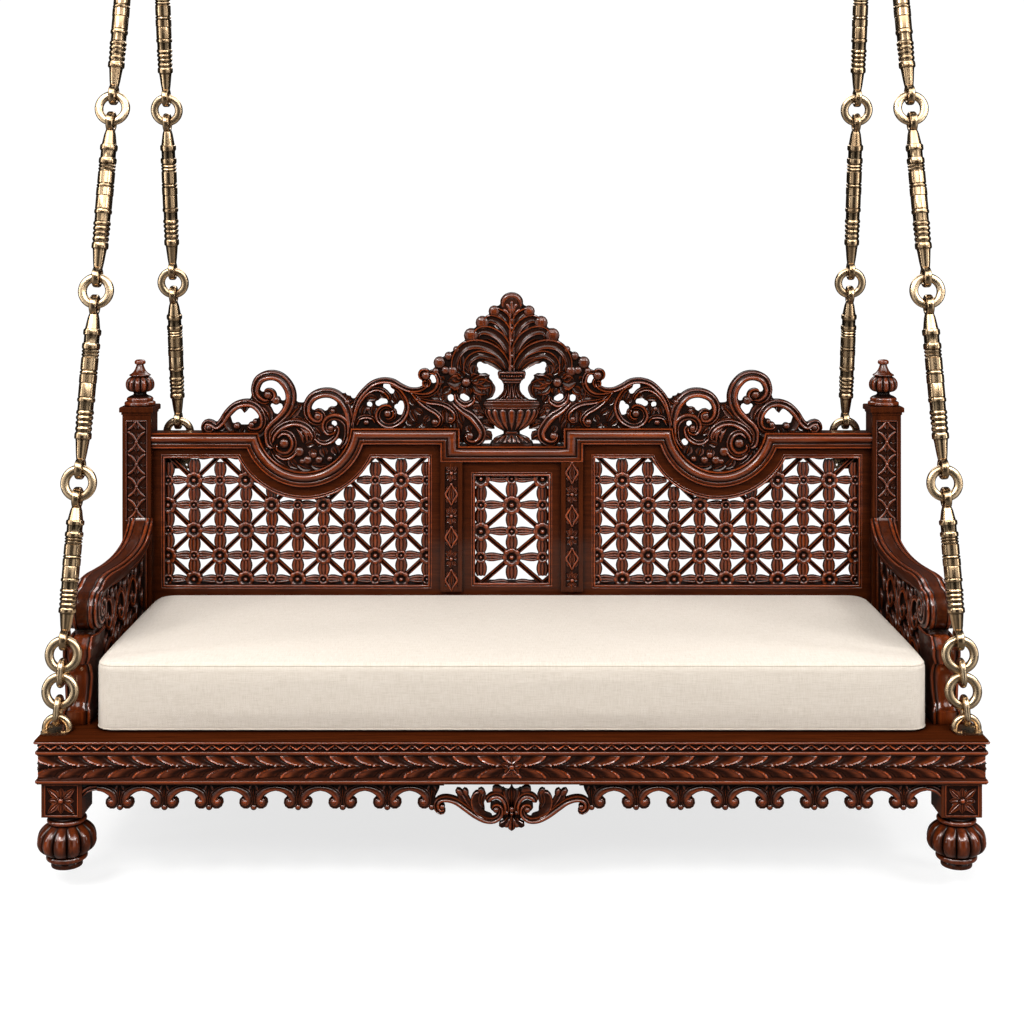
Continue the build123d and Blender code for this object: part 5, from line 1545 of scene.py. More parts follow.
    # the urn: a relief of a turned body, with flutes
    urn = [(904, 30), (901, 32.5), (895, 32.5), (891, 29), (887, 27), (882, 23), (874, 19), (865, 18), (857, 20.5), (850, 25), (844, 31.5), (840, 38), (838, 40), (837, 61), (835, 65.5), (830, 67.5), (825, 67),
           (822, 64.5), (819, 61.5), (816, 63.5), (808, 62.8), (798, 58), (787, 49), (777, 37), (771, 28), (767, 21), (764, 14.5), (761, 15), (757, 24), (752, 33), (747, 41), (743, 47), (738, 49.5), (728, 49.5)]
    zs_ = np.array([p[0] for p in urn], float)[::-1]
    ws_ = np.array([p[1] for p in urn], float)[::-1]
    u_m = Mesh()
    V, C = [], []
    cols = 51
    zz = np.linspace(904, 728, 130)
    for z in zz:
        w = float(np.interp(z, zs_, ws_))
        up = float(np.interp(z, zs_, np.gradient(ws_, zs_)))
        for j in range(cols + 2):
            # painted shade: the outline columns and the ground of the carved zones get a low depth value, falling
            # towards the sides, which darkens their colour
            if j in (0, cols + 1):
                V.append((-w if j == 0 else w, z, 0.0))
                C.append(0.0)
                continue
            s = -1 + 2 * (j - 1) / (cols - 1)
            a = math.asin(max(-1, min(1, s)))
            bulge = math.cos(a)
            tone = 0.66
            if 767 < z < 819 or 838 < z < 878 or 738.5 < z < 760 or 886.5 < z < 899.5:  # ground of the carved zones
                tone = 0.10
            elif 819 < z < 835:
                tone = 0.58
            dip = 2.0 if 886.5 < z < 899.5 and w * abs(s) < 27.5 else 0.0
            V.append((w * s, z, T * 0.42 + min(0.30 * w, 15.0) * bulge - dip * bulge))
            C.append(max(0.0, tone * bulge ** 0.6))
    u_m.add(V, grid_faces(len(zz), cols + 2), C)
    out.merge(u_m)
    deco = Mesh()

    def urn_line(z_a, z_b, ang, share, spread, h, kind, ends, cav=1.0):
        """A tongue down the urn's body at one angle; spread is its angular width."""
        z_s = np.linspace(z_a, z_b, 7)
        w_s = np.interp(z_s, zs_, ws_)
        stroke(deco, [(w_ * share * math.sin(ang), z_) for w_, z_ in zip(w_s, z_s)], w_s * spread * max(0.22, math.cos(ang)), h, 0.0, kind, zb=-2.5, ends=ends, step=2.2, cav=cav)

    for j in range(-4, 5):  # gadroons of the bowl
        urn_line(817.5, 769.5, j * 0.335, 0.985, 0.142, 3.6, "RD", "rp")
    for j in (-2, -1, 0, 1, 2):  # leaves of the neck, and of the foot
        urn_line(876.5, 841.5, j * 0.50, 0.97, 0.235, 5.2, "VC", "tr", 1.0 - 0.12 * abs(j))
        urn_line(759.0, 741.0, j * 0.52, 0.97, 0.240, 4.6, "VC", "tr", 1.0 - 0.12 * abs(j))
    for z_, x_, r_ in ((835.5, 60, 1.9), (820.0, 61, 1.7), (763.5, 14, 2.8), (878.5, 21, 2.0), (839.5, 38, 1.6), (828.0, 66, 1.2), (901.3, 31, 2.6), (885.0, 26.5, 2.6)):
        stroke(deco, [(-x_, z_), (0, z_), (x_, z_)], r_, r_ * 1.15, 0.0, "RD", zb=-2.0, ends="rr", step=3.0)
    for sg in (-1, 1):
        stroke(deco, [(sg * 29.5, 900.5), (sg * 29.0, 893.0), (sg * 27.5, 886.0)], 2.2, 2.6, 0.0, "RD", zb=-2.0, ends="rr", step=2.0)
    for j in range(-4, 5):
        ball(deco, (j * 5.5, 893.0), 2.7, -1.0, 1.3, hi=1.0, lo=0.5, seg=10, rings=4, base=-4)

    def on_urn(v):
        w_ = np.interp(v[:, 1], zs_, ws_)
        lift = T * 0.42 + np.minimum(0.30 * w_, 15.0) * np.sqrt(1 - np.clip(v[:, 0] / w_, -1, 1) ** 2)
        return np.column_stack([v[:, 0], v[:, 1], v[:, 2] + lift])

    out.merge(deco, on_urn)
    return out


cs = both_sides(crest_side())
for name, mm_ in (("left", cs), ("right", mirror(cs))):
    m = Mesh()
    m.merge(mm_, lambda v: np.column_stack([v[:, 0], 295 - v[:, 2], v[:, 1]]))
    m.obj(f"crest_{name}_carved", C_X, nodes=(f"crest_{name}",), sharp=48)
cm = both_sides(crest_mid())
m = Mesh()
m.merge(cm, lambda v: np.column_stack([v[:, 0], 295 - v[:, 2], v[:, 1]]))
m.obj("crest_centre_carved", C_X, nodes=("crest_centre",), sharp=48)

# ------------------------------------------------------------------ arms
CAP_TOP = [(259, 572), (241, 557), (214, 541), (175, 529), (110, 521), (30, 520), (-50, 524), (-115, 528), (-165, 524), (-205, 507), (-233, 475)]
CAP_BOT = [(-205, 462), (-185, 480), (-160, 492), (-115, 498), (-50, 494), (30, 490), (110, 491), (170, 498), (214, 510), (240, 524), (259, 538)]


def cap_outline():
    """Anticlockwise in (Y, Z): along the top from the back, round the scroll, and back under the cap."""
    top, _, _ = catmull(CAP_TOP[:-1], 6)
    a0 = math.degrees(math.atan2(507 - 474, -205 + 200))
    arc = [(-200 + 42 * math.cos(math.radians(g)), 474 + 42 * math.sin(math.radians(g))) for g in np.linspace(112, 345, 40)]
    keep = [p for p in top if not math.hypot(p[0] + 200, p[1] - 474) < 41.5]
    bot, _, _ = catmull([(-160, 461)] + CAP_BOT[2:], 6)
    return np.array([tuple(p) for p in keep] + arc + [tuple(p) for p in bot])


def inset(poly, d):
    nxt, prv = np.roll(poly, -1, 0), np.roll(poly, 1, 0)
    t = nxt - prv
    t /= np.maximum(np.linalg.norm(t, axis=1, keepdims=True), 1e-9)
    return poly + np.stack([-t[:, 1], t[:, 0]], 1) * d


def slab(out, poly, layers):
    """A piece with a moulded edge across its width. layers: (x, inset, depth), the first and last closed flat."""
    n = len(poly)
    V, C = [], []
    for x, d, c in layers:
        q = inset(poly, d)
        V.append(np.column_stack([q, np.full(n, x)]))
        C.append(np.full(n, c))
    F = []
    for i in range(len(layers) - 1):
        for j in range(n):
            j2 = (j + 1) % n
            F.append((i * n + j, i * n + j2, (i + 1) * n + j2, (i + 1) * n + j))
    for k, flip in ((0, True), (len(layers) - 1, False)):
        q = V[k][:, :2]
        for a, b, c in tessellate_polygon([[Vector((x, y, 0)) for x, y in q]]):
            area = (q[b][0] - q[a][0]) * (q[c][1] - q[a][1]) - (q[c][0] - q[a][0]) * (q[b][1] - q[a][1])
            if area < 0:
                b, c = c, b
            F.append(tuple(k * n + i for i in ((c, b, a) if flip else (a, b, c))))
    out.add(np.concatenate(V), F, np.concatenate(C))


def yz_right(v):
    """(Y, Z, x) to (X, Y, Z)."""
    return np.column_stack([v[:, 2], v[:, 0], v[:, 1]])


def cap_layers(x0, x1, e=1.0):
    """Two beads and a groove along each edge of the width, a plain broad face between them."""
    half = [(0, 6.5, .35), (1.0, 4.6, .8), (3.0, 3.2, 1.0), (5.0, 3.6, .8), (6.6, 5.6, .2), (7.4, 5.4, .12), (8.6, 2.2, .6), (11.5, .5, .95), (14.0, .3, .9), (16.0, 1.2, .7), (17.0, 2.6, .2), (17.8, 2.4, .2), (19.0, 1.1, .55)]
    L = [(x0 + a, d * e, c) for a, d, c in half] + [(x1 - a, d * e, c) for a, d, c in reversed(half)]
    return L


OUTL = cap_outline()
POST = [(-280, 268), (-280, 292), (-273, 298), (-264, 330), (-262, 360), (-268, 380), (-276, 388), (-276, 412), (-264, 416), (-250, 424), (-241, 430.5),
        (-157, 430.5), (-168, 416), (-176, 388), (-184, 360), (-181, 320), (-172, 298), (-168, 292), (-168, 268)]


def densify(poly, step=7.0):
    out = []
    n = len(poly)
    for i in range(n):
        a, b = poly[i], poly[(i + 1) % n]
        d = math.hypot(b[0] - a[0], b[1] - a[1])
        k = max(1, int(d / step))
        for j in range(k):
            out.append((a[0] + (b[0] - a[0]) * j / k, a[1] + (b[1] - a[1]) * j / k))
    return np.array(out)


def post_outline():
    """The front edge's curves from the part, made smooth; clockwise input turned anticlockwise."""
    front = [(-280, 292), (-273, 298)]
    s1, _, _ = catmull([(-273, 298), (-266.5, 312), (-262.5, 335), (-262, 360), (-268, 380)], 4)
    s2, _, _ = catmull([(-276, 412), (-264, 416), (-250, 424), (-241, 430.5)], 4)
    s3, _, _ = catmull([(-157, 430.5), (-168, 416), (-176, 388), (-184, 360), (-181, 320), (-172, 298)], 5)
    pts = [(-280, 268), (-280, 280), (-280, 292), (-274, 294)] + [tuple(p) for p in s1] + [(-276, 384), (-276, 398)] + [tuple(p) for p in s2] + \
          [(x, 430.5) for x in range(-230, -160, 10)] + [tuple(p) for p in s3] + [(-168, 292), (-168, 280), (-168, 268)] + [(x, 268) for x in range(-178, -279, -10)]
    return np.array(pts)[::-1]


def arm_scrolls(m, lvl):
    """Acanthus in (Y, Z) at the panel's face: u = Y from -150 to 259, v = Z from 292 to the cap."""
    S = lambda pts, w, h=5.6, kind="CH", ends="rr": stroke(m, pts, w, h, lvl, kind, zb=lvl - 4, ends=ends)
    B = lambda c, r: ball(m, c, r, lvl + 1.5, 0.9, base=lvl - 4, seg=10, rings=4)
    # three rising scrolls with leaves between, the tallest in front
    for y0, k in ((-128, 1.0), (-22, 0.96), (84, 0.98)):
        F = lambda pts: [(y0 + x * k, 296 + z * k) for x, z in pts]
        S(F([(10, 0), (-8, 40), (-10, 90), (8, 140), (44, 170), (78, 160), (88, 128), (70, 106), (46, 112), (42, 132), (56, 140)]), [6.5, 7.5, 7.5, 7, 6.5, 6, 5, 4, 3])
        B(F([(60, 128)])[0], 6.5)
        S(F([(20, 0), (24, 40), (50, 72), (84, 78), (98, 52), (82, 32), (60, 40), (62, 56)]), [5.5, 6.5, 6.5, 6, 5, 4, 3])
        B(F([(74, 52)])[0], 6.0)
        for pts, w in (
            ([(4, 60), (18, 84), (40, 96)], 6.5), ([(-2, 100), (20, 118), (34, 120)], 6), ([(20, 150), (16, 180), (24, 196)], 7), ([(50, 168), (56, 188), (72, 198)], 6.5),
            ([(80, 160), (96, 176), (104, 192)], 6), ([(90, 120), (104, 132), (110, 156)], 6), ([(40, 20), (62, 16), (84, 8)], 6), ([(100, 40), (106, 70), (100, 100)], 6.5),
            ([(28, 60), (30, 84), (50, 100)], 5), ([(86, 80), (96, 92), (92, 108)], 5.5), ([(-6, 130), (-8, 160), (0, 190)], 6), ([(98, 4), (104, 20), (96, 34)], 6),
            ([(0, 20), (-12, 30), (-16, 52)], 5),
        ):
            petal(m, F([pts[0]])[0], F([pts[-1]])[0], w, 6.0, lvl, "LF", zb=lvl - 4, bend=0.18)
    for y, z, a in ((230, 500, 60), (235, 470, 75), (215, 440, 60), (232, 400, 80), (235, 350, 80), (225, 310, 60)):
        d = (math.cos(math.radians(a)) * 26, math.sin(math.radians(a)) * 26)
        petal(m, (y - d[0], z - d[1]), (y + d[0] * .7, z + d[1] * .7), 6.5, 6.0, lvl, "LF", zb=lvl - 4, bend=0.15)


def panel_top(y):
    bot, _, _ = catmull(CAP_BOT, 4)
    return float(np.interp(y, bot[:, 0], bot[:, 1]))


def arm_side():
    """Right arm, X 818 to 876, in the (Y, Z, x) space; the inner face is the lower x."""
    cap, post, panel = Mesh(), Mesh(), Mesh()
    slab(cap, OUTL, cap_layers(818, 876))
    # the volute on each side of the scroll, and the bead that follows the cap's underside
    for x, s in ((818, -1), (876, 1)):
        b = Mesh()
        sp = spiral((-200, 474), 36.0, 200, -1.35, 0.22, 30)
        lead = [(-160, 510), (-185, 508), (-212, 500), (-230, 486)]
        stroke(b, spiral((-200, 474), 34.0, 75, 1.75, 0.24, 36), [6.4, 6.2, 5.6, 4.8, 3.8], 6.0, -0.6, "RD", zb=-3, ends="tr", step=2.0)
        ball(b, (-200, 474), 8.5, 1.5, 0.7, base=-2)
        edge = inset(OUTL, 13.0)
        low = [tuple(p) for p in edge[-40:-2]]
        stroke(b, low[::3], 2.0, 2.0, 0.0, "RD", zb=-1, ends="rr", step=4)
        b2 = Mesh()
        b2.merge(b, lambda v, x=x, s=s: np.column_stack([v[:, 0], v[:, 1], x + s * (v[:, 2] - 0.3)]))
        cap.merge(b2.flipped() if s < 0 else b2)
    slab(post, post_outline(), [(819, 4, .3), (820, 2.4, .8), (822, 1.2, 1.0), (824.5, 1.4, .8), (826, 3.4, .15), (827.2, 3.2, .15), (829, 1.4, .6), (833, .3, .9), (847, 0, .8),
                                (861, .3, .9), (865, 1.4, .6), (866.8, 3.2, .15), (868, 3.4, .15), (869.5, 1.4, .8), (872, 1.2, 1.0), (874, 2.4, .8), (875, 4, .3)])
    ys = np.linspace(-150.5, 259.5, 30)
    pan = [(-150.5, 292.2), (259.5, 292.2)] + [(y, panel_top(y) + 3) for y in ys[::-1]]
    # the neck that carries the scroll of the cap
    neck = [(-216, 424), (-158, 424), (-150, 452), (-152, 478), (-200, 478), (-214, 440)]
    slab(post, densify(neck, 6), [(827, 2.5, .3), (829, .6, .6), (832, 0, .4), (863, 0, .4), (866, .6, .6), (868, 2.5, .3)])
    # in front view the pedestal is waisted under the fillet, full below it, and waisted again above the foot
    zs_ = [268, 291, 293, 300, 325, 355, 375, 386, 389, 411, 414, 431]
    ks_ = [1.0, 1.0, 0.97, 0.86, 0.95, 1.03, 0.98, 0.84, 1.0, 1.0, 0.90, 0.80]
    for arr in post.v:
        k_ = np.interp(arr[:, 1], zs_, ks_)
        front_ = np.clip((-212 - arr[:, 0]) / 20.0, 0, 1)
        arr[:, 2] = 847 + (arr[:, 2] - 847) * (1 + (k_ - 1) * front_)
    slab(panel, densify(pan, 12), [(842, 0, .03), (852, 0, .03)])
    a = Mesh()
    arm_scrolls(a, 0.0)
    frame_pts = [(-147, 296), (-147, 400), (-147, 490)]
    for pts in ([(-147, 294), (-147, 390), (-147, 488)], [(-150, 297), (50, 297), (257, 297)], [(255, 294), (255, 400), (255, 530)],
                [(y, panel_top(y) - 5) for y in np.linspace(-140, 252, 12)]):
        stroke(a, pts, 3.6, 8.5, 0.0, "RD", zb=-4, ends="ff", step=8)
    for x, s in ((842, -1), (852, 1)):
        b2 = Mesh()
        b2.merge(a, lambda v, x=x, s=s: np.column_stack([v[:, 0], v[:, 1], x + s * (v[:, 2] + 1.5)]))
        panel.merge(b2.flipped() if s < 0 else b2)
    return cap, post, panel


cap, post, panel = arm_side()
for side, sx in (("right", 1), ("left", -1)):
    for src, nm, mat, node in ((cap, "arm_cap", C_Y, "arm_cap"), (post, "arm_pedestal", C_Z, "arm_post"), (panel, "arm_scrollwork", C_ARM, "arm_panel")):
        m = Mesh()
        m.merge(src, lambda v: yz_right(v))
        if sx < 0:
            m2 = Mesh()
            m2.merge(m, lambda v: v * np.array([-1, 1, 1]))
            m = m2.flipped()
        m.obj(f"{nm}_{side}", mat, nodes=(f"{node}_{side}",), sharp=38)

# ------------------------------------------------------------------ cushion
CU = dict(x=800, y0=-325, y1=258, z0=268.3 - DATUM, z1=398 - DATUM)


PLAN_R, TOP_R, LOW_R = 38.0, 13.0, 6.0


def settle(p):
    """Points of the boxed cushion brought on to its rounded form: plan corners, a soft upper edge and a tighter lower one."""
    x, y, z = p[:, 0] / MM, p[:, 1] / MM, p[:, 2] / MM
    cx, cy = 0.0, (CU["y0"] + CU["y1"]) / 2
    hx, hy = CU["x"], (CU["y1"] - CU["y0"]) / 2
    r = np.where(z > (CU["z0"] + CU["z1"]) / 2, TOP_R, LOW_R)
    kx, ky = np.clip(x - cx, -(hx - PLAN_R), hx - PLAN_R), np.clip(y - cy, -(hy - PLAN_R), hy - PLAN_R)
    dx, dy = x - cx - kx, y - cy - ky
    ln = np.maximum(np.hypot(dx, dy), 1e-9)
    f = np.minimum(1, (PLAN_R - r) / ln)
    ix, iy = kx + dx * f, ky + dy * f
    iz = np.clip(z, CU["z0"] + r, CU["z1"] - r)
    vx, vy, vz = x - cx - ix, y - cy - iy, z - iz
    vl = np.maximum(np.sqrt(vx * vx + vy * vy + vz * vz), 1e-6)
    q = np.column_stack([cx + ix + r * vx / vl, cy + iy + r * vy / vl, iz + r * vz / vl]) * MM
    out = np.hypot(vx, vy)
    seam = ((np.abs(vz) > 0.5) & (out > 0.5)) | ((np.abs(x) > hx - PLAN_R) & (np.abs(y - cy) > hy - PLAN_R))
    return q, seam


def cushion_core(cell):
    """The closed box of cloth, in even cells."""
    bm = bmesh.new()
    bmesh.ops.create_cube(bm, size=1.0)
    for v in bm.verts:
        v.co = ((v.co.x * 2 * CU["x"]) * MM, ((v.co.y + 0.5) * (CU["y1"] - CU["y0"]) + CU["y0"]) * MM, ((v.co.z + 0.5) * (CU["z1"] - CU["z0"]) + CU["z0"]) * MM)
    me = bpy.data.meshes.new("cushion_core")
    bm.to_mesh(me)
    bm.free()
    o = bpy.data.objects.new("cushion_linen", me)
    SC.collection.objects.link(o)
    bpy.context.view_layer.objects.active = o
    o.select_set(True)
    r = o.modifiers.new("remesh", "REMESH")
    r.mode = "VOXEL"
    r.voxel_size = cell * MM
    bpy.ops.object.modifier_apply(modifier="remesh")
    return o


def coords(me):
    a = np.zeros(len(me.vertices) * 3)
    me.vertices.foreach_get("co", a)
    return a.reshape(-1, 3)


def cloth_swell(o):
    """The cloth is sewn at the edges and blown up from inside; returns how far each point moved."""
    start = coords(o.data)
    _, seam = settle(start)
    g = o.vertex_groups.new(name="seams")
    g.add([int(i) for i in np.nonzero(seam)[0]], 1.0, "REPLACE")
    c = o.modifiers.new("cloth", "CLOTH")
    c.settings.quality = 5
    c.settings.mass = 0.35
    c.settings.tension_stiffness = 30
    c.settings.compression_stiffness = 30
    c.settings.shear_stiffness = 14
    c.settings.bending_stiffness = 6.0
    c.settings.tension_damping = 12
    c.settings.use_pressure = True
    c.settings.uniform_pressure_force = 0.8
    c.settings.vertex_group_mass = "seams"
    c.settings.effector_weights.gravity = 0
    c.collision_settings.use_self_collision = False
    SC.frame_start, SC.frame_end = 1, 22
    for f in range(1, 23):
        SC.frame_set(f)
    got = o.evaluated_get(bpy.context.evaluated_depsgraph_get())
    end = coords(got.data)
    o.modifiers.clear()
    SC.frame_set(1)
    return end - start


def finer(o, at):
    """The same cells divided once, with the corners at the given places."""
    o.data.vertices.foreach_set("co", at.ravel())
    o.data.update()
    t = o.copy()
    t.data = o.data.copy()
    SC.collection.objects.link(t)
    sub = t.modifiers.new("sub", "SUBSURF")
    sub.levels = sub.render_levels = 1
    me = bpy.data.meshes.new_from_object(t.evaluated_get(bpy.context.evaluated_depsgraph_get()))
    bpy.data.objects.remove(t)
    return me


cush = cushion_core(10.2)
base, _ = settle(coords(cush.data))
cush.data.vertices.foreach_set("co", base.ravel())
cush.data.update()
D0 = cloth_swell(cush)
# the sewn box stays in its measure: 3 mm of swell on the top, 3 mm on the upright sides
for sel, most in ((base[:, 2] > (CU["z1"] - 3) * MM, 3.0), (base[:, 2] <= (CU["z1"] - 3) * MM, 3.0)):
    top_ = np.percentile(np.linalg.norm(D0[sel], axis=1), 99.5) if sel.any() else 0
    if top_ > 1e-7:
        D0[sel] *= most * MM / top_
print("cushion swell before scaling is in proportion; cells", len(base))
fine_me = finer(cush, base)
fine_moved = finer(cush, base + D0)
flat_, moved_ = coords(fine_me), coords(fine_moved)
P, _ = settle(flat_)
P = P + (moved_ - flat_)
cush.data = fine_me
# crown: the edges stay, the fields swell, with shallow dimples of use
x, y, z = P[:, 0] / MM, P[:, 1] / MM, P[:, 2] / MM
fx, fy = np.clip(1 - (np.abs(x) / 800) ** 6, 0, 1), np.clip(1 - (np.abs((y + 33.5) / 291.5)) ** 4, 0, 1)
top = np.clip((z - CU["z1"] + 12) / 10, 0, 1)
dimple = 1.1 * np.sin(x / 137.0 + 0.6) * np.sin(y / 91.0) + 0.8 * np.sin(x / 61.0 + y / 83.0)
P[:, 2] += top * (2.6 * fx * fy + 0.5 * dimple * fx * fy) * MM
side_ = np.clip((z - CU["z0"]) / 40, 0, 1) * np.clip((CU["z1"] - z) / 40, 0, 1)
side_ = side_ * side_ * (3 - 2 * side_)
P[:, 1] -= np.where(y < CU["y0"] + 30, 1.0, 0.0) * side_ * 2.6 * np.clip(1 - (np.abs(x) / 790) ** 8, 0, 1) * MM
P[:, 1] += np.where(y < CU["y0"] + 12, -1.0, 0.0) * side_ * 0.5 * (np.sin(x / 97.0) + 0.7 * np.sin(x / 41.0 + z / 33.0)) * MM
swell = np.clip(1 - ((y + 20) / 275.0) ** 4, 0, 1) * np.clip((z - CU["z0"]) / 50.0, 0, 1) * np.clip(np.abs(x) / 790.0, 0, 1) ** 12
P[:, 0] += np.sign(x) * swell * 4.0 * MM
P[:, 0] = np.clip(P[:, 0], (-CU["x"] - 7) * MM, (CU["x"] + 7) * MM)
P[:, 1] = np.clip(P[:, 1], (CU["y0"] - 3) * MM, (CU["y1"] + 3) * MM)
P[:, 2] = np.clip(P[:, 2], (CU["z0"] + 0.3) * MM, (CU["z1"] + 6) * MM)
cush.data.vertices.foreach_set("co", P.ravel())
cush.data.update()
cush.data.polygons.foreach_set("use_smooth", [True] * len(cush.data.polygons))
cush.data.materials.clear()
cush.data.materials.append(LINEN)
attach(cush, "cushion")
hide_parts("cushion_cover", "cushion_foam")

# welts lie on the cloth: the surface is found by rays from inside each side
from mathutils.bvhtree import BVHTree

bvh = BVHTree.FromObject(cush, bpy.context.evaluated_depsgraph_get())


def welt(name, z, r=1.5, proud=0.1):
    """A sewn seam round the box at one height."""
    pts = []
    path = []
    cxs = [(-800, -325), (800, -325), (800, 258), (-800, 258)]
    rr = 38
    for cx, cy, a in ((800 - rr, 258 - rr, 0), (-800 + rr, 258 - rr, 90), (-800 + rr, -325 + rr, 180), (800 - rr, -325 + rr, 270)):
        for i in range(9):
            g = math.radians(a + 90 * i / 8)
            path.append(((cx + rr * math.cos(g)), (cy + rr * math.sin(g)), math.cos(g), math.sin(g)))
        nx = {0: (-1, 0), 90: (0, -1), 180: (1, 0), 270: (0, 1)}[a]
        length = 1600 - 2 * rr if a in (0, 180) else 583 - 2 * rr
        last = path[-1]
        for t in np.arange(12, length - 11, 12):
            path.append((last[0] + nx[0] * t, last[1] + nx[1] * t, last[2], last[3]))
    for px_, py_, nx_, ny_ in path:
        o = Vector(((px_ + nx_ * 60) * MM, (py_ + ny_ * 60) * MM, z * MM))
        hit, nor, _, _ = bvh.ray_cast(o, Vector((-nx_, -ny_, 0)))
        if hit is not None:
            pts.append((hit + nor * proud * MM))
    V, C = [], []
    n = len(pts)
    seg = 8
    for i in range(n):
        a, b = pts[i - 1], pts[(i + 1) % n]
        t = (b - a).normalized()
        u = Vector((0, 0, 1))
        w = t.cross(u).normalized()
        for j in range(seg):
            g = 2 * math.pi * j / seg
            V.append(tuple((pts[i] + (w * math.cos(g) + u * math.sin(g)) * r * MM) / MM))
    m = Mesh()
    m.add(np.array(V) + np.array([0, 0, DATUM]), grid_faces(n, seg, wrap_m=True, wrap_n=True), 0.5)
    return m.obj(name, WELT, body="cushion", slot="linen")


WELT_TOP = welt("cushion_welt_top", CU["z1"] - 5)
WELT_LOW = welt("cushion_welt_low", CU["z0"] + 4.2)

# ------------------------------------------------------------------ chains: turned rods with forged eyes, bevelled rings
APEX, FRONT_EYE, REAR_EYE = (776.0, 32.0, 2500.0), (872.0, -325.0, 267.0), (777.0, 345.0, 731.0)
TOP_RING, EYE_OFF = 291.0, 28.45
FRONT_U, REAR_U = [1226.8, 851.8, 471.8, 144.8], [779.6, 382.6, 27.6]


def chain_line(bottom, side):
    run = math.dist(APEX, bottom)
    s_eye = TOP_RING - EYE_OFF
    shift = (bottom[0] - APEX[0]) * s_eye / (run - s_eye)
    top = np.array([side * (APEX[0] - shift), APEX[1], APEX[2]])
    low = np.array([side * bottom[0], bottom[1], bottom[2]])
    length = float(np.linalg.norm(top - low))
    z = (top - low) / length
    x = np.array([1.0, 0, 0]) - z * z[0]
    x /= np.linalg.norm(x)
    return low, x, np.cross(z, x), z, length


def turned(out, prof, o, x, y, z, seg=28, closed=False, tarnish=None):
    """A body of revolution about the line o, z. prof: (radius, height); tarnish per point."""
    V, C = [], []
    for k, (r, h) in enumerate(prof):
        for j in range(seg):
            a = 2 * math.pi * j / seg
            V.append(o + z * h + (x * math.cos(a) + y * math.sin(a)) * r)
            C.append(tarnish[k] if tarnish is not None else 0.0)
    n = len(prof)
    F = grid_faces(n, seg, wrap_m=True, wrap_n=closed)
    if not closed:
        F.append(tuple(range(seg)))
        F.append(tuple((n - 1) * seg + j for j in reversed(range(seg))))
    out.add(np.array(V), F, C)


def round_box(r0, r1, half, b, n=4):
    """Section of a ring: inner radius, outer radius, half thickness, rounding."""
    pts = []
    for cx, cy, a0 in ((r1 - b, half - b, 0), (r0 + b, half - b, 90), (r0 + b, -half + b, 180), (r1 - b, -half + b, 270)):
        for g in np.linspace(a0, a0 + 90, n):
            pts.append((cx + b * math.cos(math.radians(g)), cy + b * math.sin(math.radians(g))))
    return pts


ROD = [(0, 9), (.03, 11.5), (.10, 14.6), (.108, 15.2), (.112, 17.2), (.120, 17.7), (.140, 17.7), (.148, 17.2), (.152, 15.4), (.16, 15.2), (.20, 15.2), (.205, 15.6), (.208, 17.2), (.216, 17.8),
       (.236, 17.8), (.244, 17.2), (.248, 15.6), (.252, 15.3), (.256, 16.6), (.262, 17.4), (.268, 16.6), (.272, 15.3), (.276, 15.3), (.280, 16.6), (.286, 17.4), (.292, 16.6), (.298, 15.3),
       (.302, 15.4), (.308, 17.0), (.388, 17.0), (.392, 15.3), (.396, 15.4), (.400, 17.0), (.407, 17.6), (.414, 17.0), (.417, 15.6), (.420, 15.6), (.424, 17.4), (.476, 17.4), (.482, 16.2),
       (.488, 16.7), (.572, 16.7), (.578, 15.8), (.582, 17.2), (.590, 17.7), (.600, 17.7), (.607, 17.0), (.611, 15.5), (.66, 15.5), (.664, 15.5), (.670, 16.8), (.680, 17.5), (.690, 16.8), (.695, 14.6),
       (.699, 14.6), (.705, 16.4), (.715, 17.2), (.725, 16.4), (.731, 14.6), (.737, 14.6), (.741, 16.0), (.750, 16.9), (.760, 16.0), (.766, 14.6), (.774, 14.6), (.779, 15.8), (.790, 16.6), (.801, 15.8), (.807, 14.6),
       (.812, 14.6), (.818, 16.0), (.826, 16.8), (.852, 16.8), (.858, 16.2), (.863, 14.0), (.875, 13.4), (.96, 10.8), (1, 9)]


def rod_marks(prof):
    rr = [r for _, r in prof]
    out = []
    for i, r in enumerate(rr):
        near = max(rr[max(0, i - 2):i + 3])
        out.append(min(1.0, max(0.0, (near - r - 0.7) / 1.2)) if 3 < i < len(rr) - 3 else 0.0)
    return out


